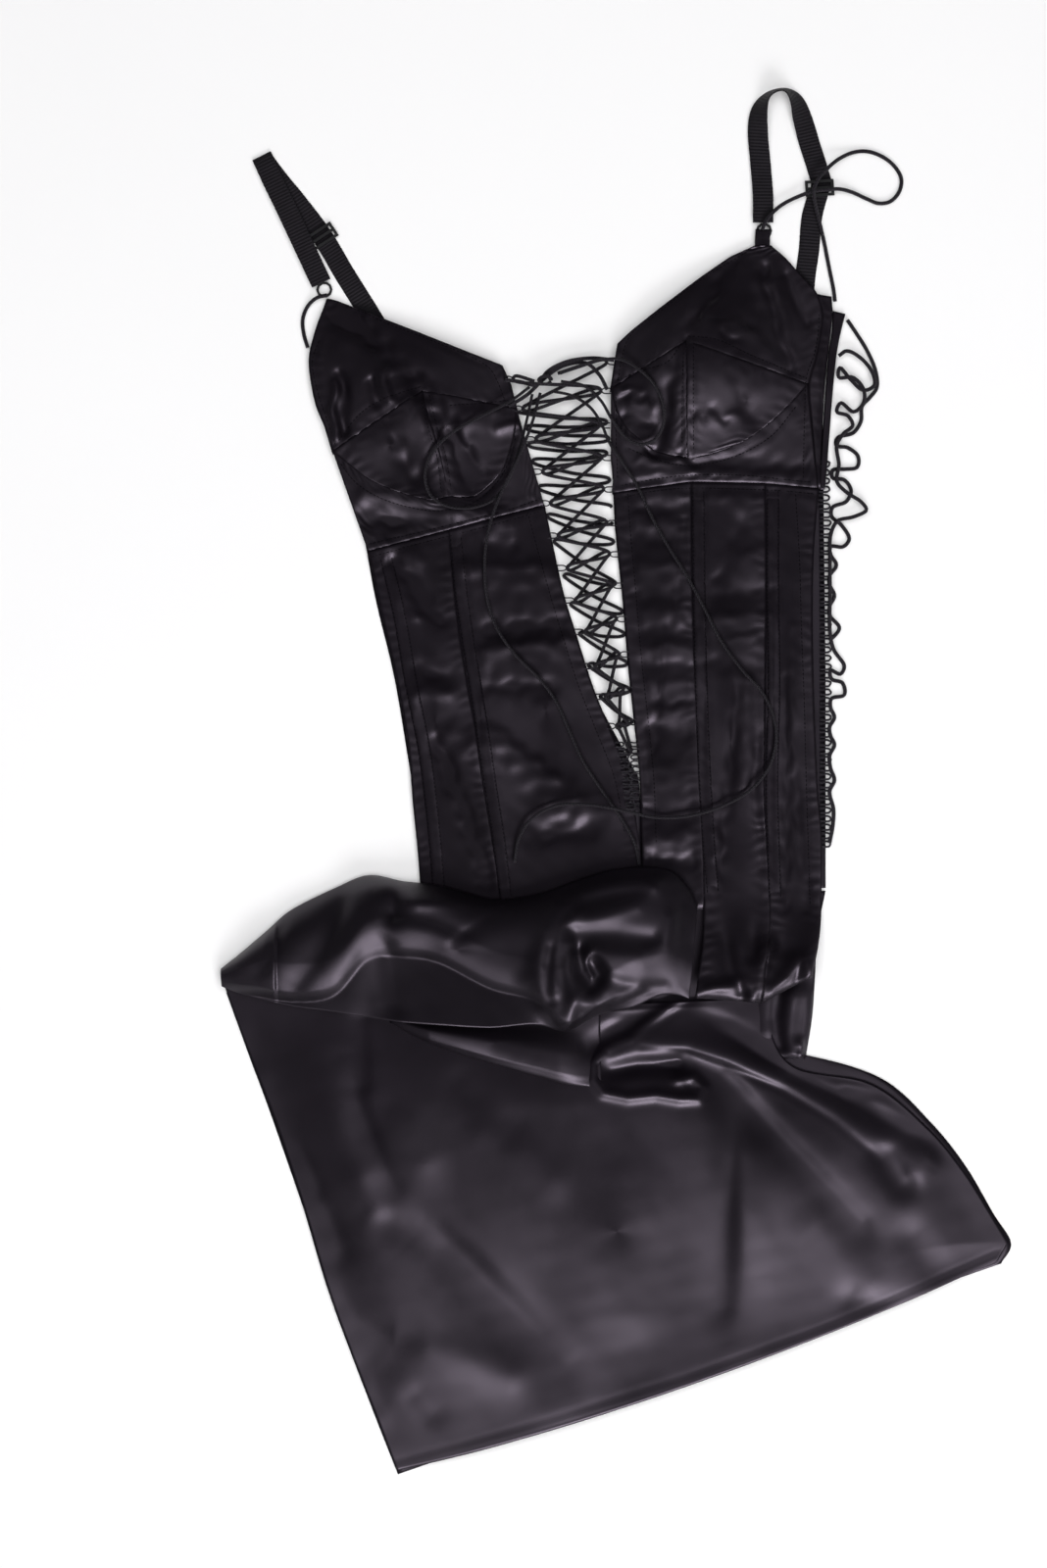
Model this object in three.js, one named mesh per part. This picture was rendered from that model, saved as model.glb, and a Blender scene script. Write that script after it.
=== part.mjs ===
// Corset dress, laid flat: bodice with soft cups, lacing at centre front, at the back and at one side,
// elastic straps, and a skirt folded over at the hip and spread below it. Millimetres, +Z up.
import * as THREE from 'three';

// driving dimensions
const CLOTH = 1.2;            // satin panel wall
const SEAM = 0.17;            // each panel stops this far short of the seam line
const BASE = 3.2;             // underside of the bodice front above the surface
const STRAP_WIDTH = 15;
const STRAP_THICK = 1.0;
const LACE = 2.2;             // front and back lacing cord diameter
const SIDE_LACE = 2.8;        // side lacing cord diameter
const CORD_SIDES = 8;
const FRONT_LACE_Z = 7.2;     // centre height of the lower of the two front lacing cords
const LACE_STEP = 2.6;        // height between two crossing cords
const BACK_LACE_Z = 1.6;
const HEAP_GAP = 3.4;         // folded layers under the top fold's upper face
const CASING_WIDTH = 9.5;     // boning channel
const CASING_THICK = 1.0;
const RING_OUT = 6, RING_IN = 4.2, RING_THICK = 1.6;
const SLIDER_LONG = 21, SLIDER_SHORT = 12, SLIDER_BAR = 2, SLIDER_THICK = 1.6;

const SATIN = { color: 0x17151a, roughness: 0.42, metalness: 0 };
const SATIN_DEEP = { color: 0x121014, roughness: 0.5, metalness: 0 };
const ELASTIC = { color: 0x121114, roughness: 0.75, metalness: 0 };
const CORD = { color: 0x100f12, roughness: 0.7, metalness: 0 };
const HARD = { color: 0x0e0e10, roughness: 0.35, metalness: 0 };

// Panel tables. Each row is one section: left x, left y, (middle x, middle y,) right x, right y.
const CUP_UPPER_L = [
  [-212, 352.8, -208.4, 352.4, -204.1, 351.4], [-220.7, 328.3, -192.6, 333.4, -164.5, 335.5],
  [-225, 306.7, -173.2, 319.7, -114.1, 315.4], [-220.7, 277.9, -158.8, 305.3, -83.9, 303.8],
  [-213.5, 259.2, -150.1, 294.5, -77.4, 289.4], [-207.7, 241.2, -142.2, 284.4, -73.1, 272.2]
];
const CUP_OUTER_L = [
  [-207.7, 241.2, -142.2, 284.4], [-196.2, 231.8, -137.9, 267.1], [-181.8, 221, -132.1, 249.1],
  [-160.9, 211.7, -127.1, 229], [-135.7, 205.2, -122.8, 207.4]
];
const CUP_INNER_L = [
  [-142.2, 284.4, -73.1, 272.2], [-137.9, 267.1, -73.8, 259.2], [-132.1, 249.1, -77.4, 243.4],
  [-127.1, 229, -85.3, 224.6], [-122.8, 207.4, -103.3, 208.1]
];
const BAND_L = [
  [-207.7, 241.2, -181.8, 168.5], [-196.2, 231.8, -173.2, 171], [-181.8, 221, -160.2, 174.6],
  [-160.9, 211.7, -141.5, 179.6], [-135.7, 205.2, -124.2, 184.3], [-122.8, 207.4, -108.4, 188.6],
  [-103.3, 208.1, -92.5, 193], [-85.3, 224.6, -76.7, 196.9], [-77.4, 243.4, -65.2, 199.8],
  [-73.8, 259.2, -58, 201.6], [-73.1, 272.2, -53.6, 202.7]
];
const SIDE_PANEL_L = [
  [-181.8, 167.4, -122.8, 182.9], [-176, 141.1, -119.2, 141.1], [-169.6, 112.3, -114.8, 105.1],
  [-163.1, 83.5, -109.1, 69.1], [-156.6, 51.1, -103.3, 36.7], [-151.6, 18.7, -98.3, 0.7],
  [-148.7, -17.3, -92.5, -35.3], [-145.1, -53.3, -87.5, -67.7], [-142.2, -92.9, -83.9, -97.9]
];
const FRONT_PANEL_L = [
  [-122.8, 182.9, -52.9, 201.2], [-119.2, 141.1, -40, 141.1], [-114.8, 105.1, -29.2, 105.1],
  [-109.1, 69.1, -16.9, 67], [-103.3, 36.7, -4.7, 36.7], [-98.3, 0.7, 9, 0.7], [-92.5, -35.3, 15.5, -38.9],
  [-87.5, -67.7, 19.1, -71.3], [-83.9, -97.9, 19.8, -96.5]
];
const CUP_UPPER_R = [
  [101.2, 391.7, 106.9, 392.4, 113.4, 391.7], [83.9, 383.8, 103.3, 386.6, 123.5, 383],
  [62.3, 368.6, 98.3, 375.1, 134.3, 370.8], [31.3, 344.9, 87.5, 360.7, 146.5, 357.1],
  [11.2, 329, 75.2, 348.5, 150.8, 342.7], [1.1, 319.7, 64.4, 338.4, 149.4, 328.3],
  [-1.8, 302.4, 57.2, 329.8, 145.8, 310.3], [-4, 286.6, 50, 320.4, 140, 290.2]
];
const CUP_INNER_R = [
  [-4, 286.6, 50, 320.4], [-0.4, 272.2, 50.8, 295.9], [6.8, 259.2, 50.8, 274.3], [16.9, 249.8, 51.5, 256.3],
  [29.9, 240.5, 51.5, 236.2]
];
const CUP_OUTER_R = [
  [50, 320.4, 140, 290.2], [50.8, 295.9, 127.8, 276.5], [50.8, 274.3, 112.7, 262.1],
  [51.5, 256.3, 93.2, 248.4], [51.5, 236.2, 70.2, 239]
];
const BAND_R = [
  [-4, 286.6, -4, 236.2], [-0.4, 272.2, -2.5, 221.8], [6.8, 259.2, -1.8, 211.7], [16.9, 249.8, 11.9, 213.8],
  [29.9, 240.5, 28.4, 216], [51.5, 236.2, 51.5, 219.6], [70.2, 239, 73.1, 219.6], [93.2, 248.4, 96.1, 219.2],
  [112.7, 262.1, 116.3, 218.2], [127.8, 276.5, 134.3, 216], [140, 290.2, 147.2, 214.9]
];
const SIDE_FACING_R = [
  [148, 355.7, 157.3, 354.2], [151.6, 342.7, 158, 342.7], [150.1, 328.3, 156.6, 328.3],
  [146.5, 310.3, 154.4, 310.3], [141.1, 290.2, 152.3, 288], [143.6, 263.5, 150.8, 263.5],
  [146.2, 238.3, 149.4, 238.3], [148.3, 216, 149.4, 216]
];
const FRONT_PANEL_R = [
  [-1.8, 210.2, 55.1, 218.2], [-0.4, 184.3, 55.1, 184.3], [2.5, 155.5, 55.8, 148.3], [5.4, 126.7, 56.5, 112.3],
  [9, 83.5, 58, 76.3], [13.3, 43.9, 59.4, 40.3], [17.6, 0.7, 60.8, -2.9], [19.1, -38.9, 63, -38.9],
  [19.8, -92.9, 64.4, -92.9]
];
const MID_PANEL_R = [
  [55.1, 218.2, 109.1, 217.1], [55.4, 166.3, 109.8, 166.3], [56.2, 119.5, 109.8, 119.5],
  [58, 69.1, 109.1, 69.1], [60.8, -2.9, 108.4, -2.9], [63, -38.9, 109.8, -38.9], [64.4, -78.5, 112, -78.5],
  [63.7, -118.1, 112, -110.9], [58, -157, 106.2, -160.6]
];
const SIDE_PANEL_R = [
  [109.1, 217.1, 148, 213.5], [109.8, 166.3, 144.4, 166.3], [109.8, 119.5, 143.6, 119.5],
  [109.1, 69.1, 144.4, 69.1], [108.4, -2.9, 147.2, -2.9], [109.8, -38.9, 150.1, -38.9],
  [112, -78.5, 150.1, -78.5], [112, -110.9, 148.7, -110.9], [106.2, -160.6, 142.9, -141.8]
];
const SIDE_TAPE_R = [
  [158.8, 344.2, 168.1, 342], [158, 328.3, 164.5, 327.6], [155.5, 312.5, 161.6, 311.8],
  [153.4, 285.1, 158.8, 285.1], [151.6, 256.3, 156.6, 256.3], [150.1, 227.5, 154.4, 227.5],
  [149.4, 213.1, 153, 213.1]
];
const BACK_L = [
  [-214.9, 312.5, -88.9, 290.9], [-204.1, 256.3, -75.2, 256.3], [-189, 198.7, -54.4, 198.7],
  [-176.8, 133.9, -39.2, 133.9], [-163.1, 76.3, -22, 76.3], [-152.3, 13, 10.1, 13], [-150.1, -2.9, 16.8, -2.9],
  [-144.4, -60.5, 19.7, -60.5], [-141.5, -97.9, 20.2, -97.9]
];
const BACK_R = [
  [8.3, 267.1, 150.8, 344.2], [1.8, 238.3, 151.6, 270.7], [1.8, 198.7, 152.3, 198.7], [6.8, 141.1, 153, 141.1],
  [12.6, 69.1, 153.7, 69.1], [16.3, 13, 153.7, 13], [17.3, -2.9, 153.7, -2.9], [20.2, -60.5, 153.7, -60.5],
  [20.7, -80.6, 153.7, -79.2]
];
const SKIRT_NECK = [
  [23.4, -82.8, 153.7, -81.4], [19.1, -118.1, 148, -110.9], [15.5, -146.9, 145.8, -146.9],
  [19.1, -172.8, 143.6, -175.7], [51.5, -186.5, 141.5, -198.7]
];
const SKIRT_BACK = [
  [-286.2, -156.2, 8.3, -179.3], [-277.6, -180, 76.7, -193.7], [-268.2, -205.9, 140.8, -202.3],
  [-257.4, -234.7, 195.5, -219.6], [-245.2, -269.3, 231.5, -252], [-227.2, -321.8, 256.7, -283.7],
  [-203.4, -396.7, 276.8, -318.2], [-178.9, -462.2, 289.8, -339.8], [-160.2, -509.8, 282.6, -355]
];
const SKIRT_FRONT = [
  [-284.8, -157.7, -92.5, -172.8, 112.7, -164.2], [-276.1, -182.9, -78.1, -186.5, 113.4, -184.3],
  [-263.9, -215.3, -49.3, -208.1, 132.1, -211.7], [-248.8, -254.9, -20.5, -240.5, 188.3, -223.9],
  [-230, -312.5, 8.3, -283.7, 229.3, -256.3], [-212.8, -370.1, 29.9, -326.9, 255.2, -287.3],
  [-193.3, -424.1, 44.3, -370.1, 274, -316.8], [-176, -467.3, 53.6, -406.1, 287.6, -339.1],
  [-160.9, -506.9, 52.9, -443.5, 279.7, -352.8]
];
const FLAP = [
  [-166, -177.8, -163.1, -168.5], [-146.5, -188.6, -146.5, -165.6], [-128.5, -195.8, -128.5, -164.2],
  [-103.3, -203.8, -103.3, -162.7], [-78.1, -211, -79.6, -161.3], [-56.5, -216.7, -58.7, -159.8],
  [-34.9, -222.5, -38.5, -159.8], [-16.9, -227.5, -20.5, -158.4], [1.1, -230.4, -4.7, -157],
  [24.1, -230.4, 16.9, -155.5], [51.5, -229, 44.3, -155.5]
];
const FOLD_TOP = [
  [-289.1, -151.2, -289.8, -138.2, 4, 9, 4.5], [-276.1, -156.2, -276.1, -127.4, 5, 15, 4],
  [-258.1, -160.6, -256.7, -110.9, 6, 21, 3.5], [-236.5, -165.6, -238, -95, 7, 25, 3.5],
  [-207.7, -169.2, -206.3, -79.2, 11, 28, 3.5], [-182.5, -172.8, -181.8, -69.8, 15, 31, 3.5],
  [-157.3, -175.7, -155.9, -74.2, 18, 33, 5], [-128.5, -177.8, -130, -77, 20, 33, 8.5],
  [-92.5, -180, -88.9, -87.1, 19, 33, 8.5], [-60.1, -177.8, -58, -83.5, 20, 36, 8.5],
  [-37.1, -182.9, -31.3, -74.2, 20, 38, 9], [-13.3, -171.4, -6.1, -66.2, 19, 37, 9],
  [11.9, -165.6, 16.9, -63.4, 18, 34, 9], [31.3, -157, 38.5, -65.5, 17, 29, 9],
  [44.3, -157, 51.5, -77, 15, 23, 9], [52.9, -159.8, 59.4, -90.7, 13, 18, 9]
];
const HOOKS = [
  [-80.3, 293.8, -2.5, 306], [-73.1, 272.2, -6.8, 285.1], [-63.7, 249.8, -7.6, 259.9],
  [-58.7, 226.1, -6.1, 236.2], [-52.9, 203, -4.7, 213.1], [-47.2, 179.3, -2.5, 188.6],
  [-40.7, 155.5, -0.4, 165.6], [-34.9, 131.8, 1.8, 142.6], [-27.7, 108.7, 4.7, 118.1],
  [-20.5, 83.5, 6.8, 92.2], [-12.6, 61.2, 9.7, 66.2], [-4.7, 39.6, 12.6, 42.5], [4, 20.2, 15.5, 20.9]
];
const LOOP_L = [
  [-63.7, 287.3, 0], [-78.1, 276.5, 0], [-99.7, 265, 0], [-121.3, 252.7, 0], [-135, 238.3, 0],
  [-140, 222.5, 0], [-135.7, 208.1, 0], [-122.8, 200.2, 0], [-105.5, 199.4, 0], [-90.4, 205.2, 0],
  [-79.6, 218.9, 0], [-71.6, 240.5, 0], [-65.9, 262.1, 0], [-61.6, 282.2, 0]
];
const TAIL_L = [
  [-55.8, 283, 0], [-62.3, 259.2, 3.4], [-72.4, 234, 3.4], [-83.9, 211, 3.4], [-91.8, 190.1, 1.5],
  [-96.1, 166.3, 0], [-95.4, 137.5, 0], [-88.9, 113.8, 0], [-74.5, 92.2, 0], [-55.1, 72.7, 0],
  [-43.6, 56.2, 0], [-34.9, 36.7, 0], [-24.8, 14.4, 0], [-11.9, -5.8, 0], [2.5, -26.6, 0], [12.6, -44.6, 0],
  [16.9, -61.9, 0]
];
const LOOP_R = [
  [-41.4, 297.4, 0], [-26.3, 302.4, 0], [-11.9, 306.7, 0], [1.8, 307.4, 0], [15.5, 300.2, 0], [27.7, 288, 0],
  [34.2, 272.2, 0], [33.5, 257.8, 0], [27, 248.4, 0], [16.9, 245.5, 0], [6.8, 250.6, 0], [-3.2, 263.5, 0],
  [-11.9, 277.9, 0], [-23.4, 288, 0], [-40.7, 291.6, 0]
];
const TAIL_R = [
  [-47.2, 284.4, 0], [-32, 280.8, 0], [-19.1, 272.2, 0], [-11.2, 260.6, 0], [-5.4, 247, 0], [4, 232.6, 0],
  [15.5, 214.6, 0], [25.6, 193, 0], [38.5, 169.9, 0], [52.9, 146.9, 0], [64.4, 125.3, 0], [76.7, 101.5, 0],
  [93.2, 79.2, 0], [106.2, 64.8, 0], [114.1, 49, 0], [117, 31.7, 0], [112, 10.1, 0], [98.3, -7.2, 0],
  [76.7, -19.4, 0], [51.5, -26.6, 0], [28.4, -27.4, 0], [11.2, -23.8, 3], [-6.1, -20.2, 5], [-22, -18, 3],
  [-43.6, -18.7, 0], [-61.6, -28.1, 0], [-71.6, -43.2, 0], [-74.5, -60.5, 0]
];
const SIDE_TAIL = [
  [106.9, 403.2, 6.4], [109.1, 409, 6.8], [114.1, 415.4, 6.3], [120.6, 421.2, 5.4], [131.4, 427, 5.4],
  [143.6, 431.3, 6.2], [154.4, 432.7, 6.2], [163.8, 433.4, 5], [173.2, 431.3, 3], [183.2, 427, 1.9],
  [192.6, 423.4, 1.9], [201.2, 424.8, 1.9], [207.7, 432, 1.9], [209.2, 441.4, 1.9], [204.1, 450.7, 1.9],
  [194.8, 457.9, 1.9], [184, 461.5, 1.9], [174.6, 460.8, 2.4], [163.8, 455.8, 5.5], [154.4, 447.8, 8.6],
  [147.2, 439.2, 9.8], [144.4, 431.3, 9.8], [145.8, 421.9, 7], [148.7, 410.4, 4], [152.3, 396, 2.4],
  [156.6, 374.4, 2], [159.5, 360, 2], [160.6, 351.4, 2]
];
const SIDE_END_L = [
  [-212, 355.7, 4.7], [-220, 353.5, 4.4], [-226.4, 347.8, 1.9], [-230, 338.4, 1.9], [-229.3, 327.6, 1.9],
  [-226.4, 317.5, 1.9]
];
const SIDE_A = [
  [169.6, 337.7, 1.9], [176, 328.3, 1.9], [184, 315.4, 1.9], [190.4, 300.2, 1.9], [191.2, 288, 1.9],
  [186.1, 280.8, 1.9], [180.4, 274.3, 1.9], [179.6, 263.5, 1.9], [173.9, 254.9, 1.9], [162.4, 251.3, 1.9],
  [161.6, 245.5, 1.9], [169.6, 244.1, 1.9], [177.5, 237.6, 1.9], [176.8, 229.7, 1.9], [168.1, 228.2, 1.9],
  [158.8, 227.5, 1.9], [158.8, 221.8, 1.9], [167.4, 220.3, 1.9], [172.4, 212.4, 1.9], [168.8, 204.5, 1.9],
  [158.8, 200.2, 1.9], [158, 193.7, 1.9], [165.2, 187.2, 1.9], [171, 177.1, 1.9], [166.7, 171.4, 1.9],
  [157.3, 171.4, 1.9], [157.3, 165.6, 1.9], [161.6, 157.7, 1.9], [156.6, 149.8, 1.9], [156.6, 143.3, 1.9],
  [160.2, 135.4, 1.9], [156.6, 127.4, 1.9], [156.6, 121, 1.9], [163.8, 111.6, 1.9], [156.6, 102.2, 1.9]
];
const SIDE_B = [
  [163.1, 311, 5.6], [168.8, 314.6, 5.4], [178.9, 309.6, 5.4], [187.6, 298.8, 5.4], [189, 289.4, 5.4],
  [181.1, 285.8, 5.4], [171, 294.5, 5.4], [163.8, 302.4, 5.4], [163.1, 295.2, 5.4], [173.2, 295.2, 5.4],
  [181.1, 286.6, 5.4], [181.1, 276.5, 5.4], [173.9, 270, 5.4], [164.5, 276.5, 5.4], [161.6, 270, 5.4],
  [169.6, 267.1, 5.4], [173.2, 259.9, 5.4], [166.7, 254.2, 5.4], [161.6, 245.5, 5.4], [163.1, 231.1, 5.4],
  [161.6, 218.9, 5.4], [168.8, 211, 5.4], [179.6, 203.8, 5.4], [183.2, 198, 5.4], [173.9, 193, 5.4],
  [162.4, 190.1, 5.4], [157.3, 180.7, 5.4], [156.6, 159.1, 5.4], [156.6, 133.9, 5.4], [156.6, 108.7, 5.4],
  [159.5, 95.8, 3.4], [167.4, 83.5, 1.9], [164.5, 77.8, 1.9], [157.3, 80.6, 1.9], [158, 74.2, 1.9],
  [166, 71.3, 1.9], [167.4, 62.6, 1.9], [158, 59.8, 1.9], [157.3, 53.3, 1.9], [160.2, 46.1, 1.9],
  [156.6, 38.9, 1.9], [157.3, 32.4, 1.9], [160.2, 25.9, 1.9], [156.6, 18, 1.9], [157.3, 8.6, 1.9],
  [160.2, 0, 1.9], [156.6, -8.6, 1.9], [159.5, -21.6, 1.9], [158.8, -34.6, 1.9], [156.6, -46.1, 1.9]
];
const BACK_A = [
  [-75.2, 272.2, 0], [-6.8, 262.8, 0], [-65.9, 258.5, 0], [-5.4, 250.6, 0], [-64.4, 246.2, 0],
  [-6.8, 239.8, 0], [-61.6, 234, 0], [-4.7, 220.3, 0], [-57.2, 214.6, 0], [-3.2, 200.2, 0]
];
const BACK_B = [
  [-2.5, 189.4, 0], [-50.8, 193.7, 0], [-1.8, 175, 0], [-45.7, 175, 0], [-0.4, 144.7, 0], [-38.5, 149.8, 0],
  [4.7, 123.8, 0], [-33.5, 128.9, 0], [6.1, 107.3, 0], [-27, 107.3, 0], [8.3, 85.7, 0], [-20.5, 84.2, 0],
  [10.4, 66.2, 0], [-11.9, 61.2, 0], [11.9, 43.2, 0], [0.4, 39.6, 0]
];

// straps: centre x, y, z, direction of the width (degrees), tilt of the width (degrees)
const STRAP_L = [
  [-216.3, 364.5, 4.2, 26, 0], [-226.4, 386, 4.5, 26, 0], [-240, 415, 4.5, 26, 0], [-253, 442, 3.6, 26, 0],
  [-258.6, 454.5, 3.1, 26.5, 0], [-260.2, 458, 2.0, 27, 0], [-258.6, 454.9, 0.9, 29, 0], [-248, 440.6, 0.8, 32, 0],
  [-236, 426, 0.8, 33, 0], [-216, 399.6, 0.8, 33, 0], [-199, 371, 0.8, 32, 0], [-180.4, 341.3, 0.8, 32, 0], [-164.5, 314.6, 0.8, 32, 0]
];
const STRAP_R = [
  [107.6, 409, 4.2, 180, 0], [107.6, 429, 3.2, 180, 0], [106, 451, 2.4, 178, 0], [104, 472, 3.6, 174, -10],
  [104.4, 489, 6.2, 166, -36], [110.6, 501.6, 8.4, 128, -68], [122.5, 505.6, 8.6, 80, -72],
  [131.5, 498.6, 6.6, 42, -42], [136.6, 485, 3.6, 20, -16], [142, 466.6, 2.2, 13, 0], [148, 447.8, 1.8, 12, 0],
  [150.4, 438, 1.2, 6, 0], [148.3, 430.6, 0.8, -2, 0], [143.6, 413, 0.8, -6, 0], [141.6, 389.5, 0.8, -4, 0],
  [138.6, 368, 0.8, -5, 0], [136.8, 344, 0.8, -5, 0]
];
// hardware: centre x, y, underside z, turn (degrees)
const RINGS = { ring_l: [-214.2, 360, 1, 0], ring_r: [108.4, 403.2, 1, 0] };
const SLIDERS = { slider_l: [-215.6, 399.2, 1.7, 33], slider_r: [149.2, 434.4, 2.3, 4] };

// boning channels: centre line x, y
const CASINGS = {
  casing_l1: [[-168.8, 163], [-158.8, 119.5], [-150.1, 69.1], [-141.5, 25.9], [-135.7, -17.3], [-131.4, -64.1], [-129.3, -90]],
  casing_l2: [[-117.7, 177.8], [-114.1, 141.1], [-109.1, 105.1], [-103.3, 69.1], [-97.6, 33.1], [-92.5, -2.9], [-86.8, -38.9], [-81, -86]],
  casing_r1: [[60.1, 212], [60.8, 141.1], [62.3, 69.1], [65.2, -2.9], [68.8, -60.5], [71, -83.5]],
  casing_r2: [[114.8, 213], [114.8, 141.1], [115.6, 69.1], [114.1, -2.9], [115.6, -60.5], [116.5, -87]]
};

// domes: centre x, y, rise, half length x, half length y
const DOMES = [[-144, 278, 14, 58, 52], [62, 306, 17, 58, 56]];
// soft ridges (+) and troughs (-): rise, half width, then the route x, y ...
const BODICE_FOLDS = [
  [-5, 7, -200, 343, -157, 310, -136, 288, -121, 271, -114, 249, -100, 224],
  [-5, 7, 80, 382, 62, 357, 48, 328, 41, 299, 30, 264],
  [2.6, 9, -55, 202, -40, 141, -29, 105, -17, 67, -5, 37, 9, 1],
  [2.6, 9, -2, 210, 0, 141, 5, 105, 9, 69, 13, 37, 17, 1],
  [-2.2, 9, 44, 127, 37, 83, 30, 40, 23, 19], [2, 12, -140, 150, -128, 60], [1.8, 12, 90, 170, 92, 40],
  [2, 14, -90, 120, -66, 20], [2, 12, 35, 180, 36, 90]
];
const SKIRT_FOLDS = [
  [9, 15, 8, -192, 66, -203, 95, -208, 145, -237, 174, -255, 196, -276],
  [-5, 9, 51, -168, 80, -186, 109, -204, 138, -219, 174, -237],
  [-7, 12, 15, -204, 51, -208, 80, -222, 109, -255, 145, -291, 181, -327],
  [9, 17, 87, -240, 95, -334, 89, -413], [-6, 16, -197, -197, -179, -255, -168, -284, -143, -320, -114, -356, -85, -384, -42, -424],
  [6, 18, -227, -240, -190, -340, -168, -440], [6, 24, 8, -312, 15, -363, -13, -420, -42, -464],
  [6, 16, 232, -262, 221, -291, 210, -298], [-6, 12, 199, -273, 217, -298], [5, 16, -168, -435, -129, -485],
  [5, 20, -100, -260, -60, -330], [-4, 14, 130, -300, 190, -395], [4, 18, 170, -290, 230, -355]
];
const FOLD_TOP_FOLDS = [
  [4, 8, -272, -149, -236, -154, -201, -152, -190, -132, -173, -111, -150, -120, -118, -119, -100, -132, -80, -154],
  [-7, 9, -172, -128, -160, -165], [5, 9, -142, -95, -112, -88], [-5, 6, -165, -92, -164, -100],
  [-4, 5, -164, -100, -136, -107, -114, -117], [4, 8, -60, -120, -46, -93, -20, -78, 20, -73],
  [6, 10, 20, -78, -28, -80, -51, -111, -56, -150, -45, -178], [-9, 9, -34, -120, -14, -145, -22, -156],
  [4, 7, -21, -125, 19, -125], [-4, 6, -13, -138, 10, -151, 52, -158], [-4, 8, 60, -120, 66, -150]
];
const NECK_FOLDS = [[5, 8, 60, -157, 88, -150], [5, 9, 98, -160, 110, -126], [4, 7, 124, -144, 136, -132], [-3, 6, 90, -158, 93, -166]];

// ---------- surface heights ----------
function segmentDistance(x, y, route, from) {
  let best = 1e9;
  for (let i = from; i + 3 < route.length; i += 2) {
    const ax = route[i], ay = route[i + 1], bx = route[i + 2], by = route[i + 3];
    const lx = bx - ax, ly = by - ay;
    const t = Math.max(0, Math.min(1, ((x - ax) * lx + (y - ay) * ly) / (lx * lx + ly * ly)));
    best = Math.min(best, Math.hypot(x - ax - lx * t, y - ay - ly * t));
  }
  return best;
}
function folds(x, y, table) {
  let z = 0;
  for (const row of table) {
    const d = segmentDistance(x, y, row, 2) / row[1];
    if (d < 3) z += row[0] * Math.exp(-d * d);
  }
  return z;
}
const ramp = (t) => { t = Math.max(0, Math.min(1, t)); return t * t * (3 - 2 * t); };
function bodiceTop(x, y) {
  let z = BASE + CLOTH + Math.max(-1.2, folds(x, y, BODICE_FOLDS));
  for (const [cx, cy, rise, rx, ry] of DOMES) z += rise * Math.exp(-(((x - cx) / rx) ** 2) - ((y - cy) / ry) ** 2);
  return z;
}
const SKIRT_SIDE_L = [0, 0, -285, -156, -276, -183, -264, -215, -249, -255, -230, -312, -213, -370, -193, -424, -176, -467, -161, -507];
const SKIRT_SIDE_R = [0, 0, 113, -164, 113, -184, 132, -212, 188, -224, 229, -256, 255, -287, 274, -317, 288, -339, 280, -353];
const SKIRT_TOP = [0, 0, -285, -157, -92, -173, 113, -164];
const SKIRT_HEM = [0, 0, -161, -507, -50, -475, 53, -443, 160, -404, 280, -353];
function skirtTop(x, y) {
  const side = Math.min(segmentDistance(x, y, SKIRT_SIDE_L, 2), segmentDistance(x, y, SKIRT_SIDE_R, 2));
  const top = segmentDistance(x, y, SKIRT_TOP, 2), hem = segmentDistance(x, y, SKIRT_HEM, 2);
  const body = 13 * (1 - Math.exp(-((side / 38) ** 2))) * (0.25 + 0.75 * ramp(top / 60)) * (0.35 + 0.65 * ramp(hem / 55));
  const edge = ramp(side / 14) * ramp((hem + 12) / 30) * ramp((top + 8) / 22);
  return 1.9 + CLOTH + body + Math.max(-body * 0.6, folds(x, y, SKIRT_FOLDS) * edge);
}

// ---------- solids ----------
// closed wall from a grid of top points; `under(point, normalZ)` gives the height of its underside
function wall(grid, under) {
  const n = grid.length, m = grid[0].length, pos = [], idx = [];
  let turn = 0;
  for (let i = 0; i < n - 1; i++) for (let j = 0; j < m - 1; j++) {
    const a = grid[i][j], b = grid[i][j + 1], c = grid[i + 1][j + 1], d = grid[i + 1][j];
    turn += (c[0] - a[0]) * (d[1] - b[1]) - (c[1] - a[1]) * (d[0] - b[0]);
  }
  const flip = turn < 0;
  for (const row of grid) for (const p of row) pos.push(p[0], p[1], p[2]);
  for (let i = 0; i < n; i++) for (let j = 0; j < m; j++) {
    const p = grid[i][j];
    pos.push(p[0], p[1], under(p, i, j));
  }
  const T = (i, j) => i * m + j, B = (i, j) => n * m + i * m + j;
  const tri = (a, b, c) => (flip ? idx.push(a, c, b) : idx.push(a, b, c));
  const quad = (a, b, c, d) => { tri(a, b, c); tri(a, c, d); };
  for (let i = 0; i < n - 1; i++) for (let j = 0; j < m - 1; j++) {
    quad(T(i, j), T(i, j + 1), T(i + 1, j + 1), T(i + 1, j));
    quad(B(i, j), B(i + 1, j), B(i + 1, j + 1), B(i, j + 1));
  }
  for (let j = 0; j < m - 1; j++) {
    quad(T(0, j + 1), T(0, j), B(0, j), B(0, j + 1));
    quad(T(n - 1, j), T(n - 1, j + 1), B(n - 1, j + 1), B(n - 1, j));
  }
  for (let i = 0; i < n - 1; i++) {
    quad(T(i, 0), T(i + 1, 0), B(i + 1, 0), B(i, 0));
    quad(T(i + 1, m - 1), T(i, m - 1), B(i, m - 1), B(i + 1, m - 1));
  }
  return closed(pos, idx);
}
function closed(pos, idx) {
  const g = new THREE.BufferGeometry();
  g.setAttribute('position', new THREE.Float32BufferAttribute(pos, 3));
  g.setIndex(idx);
  g.computeVertexNormals();
  return g;
}
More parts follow.
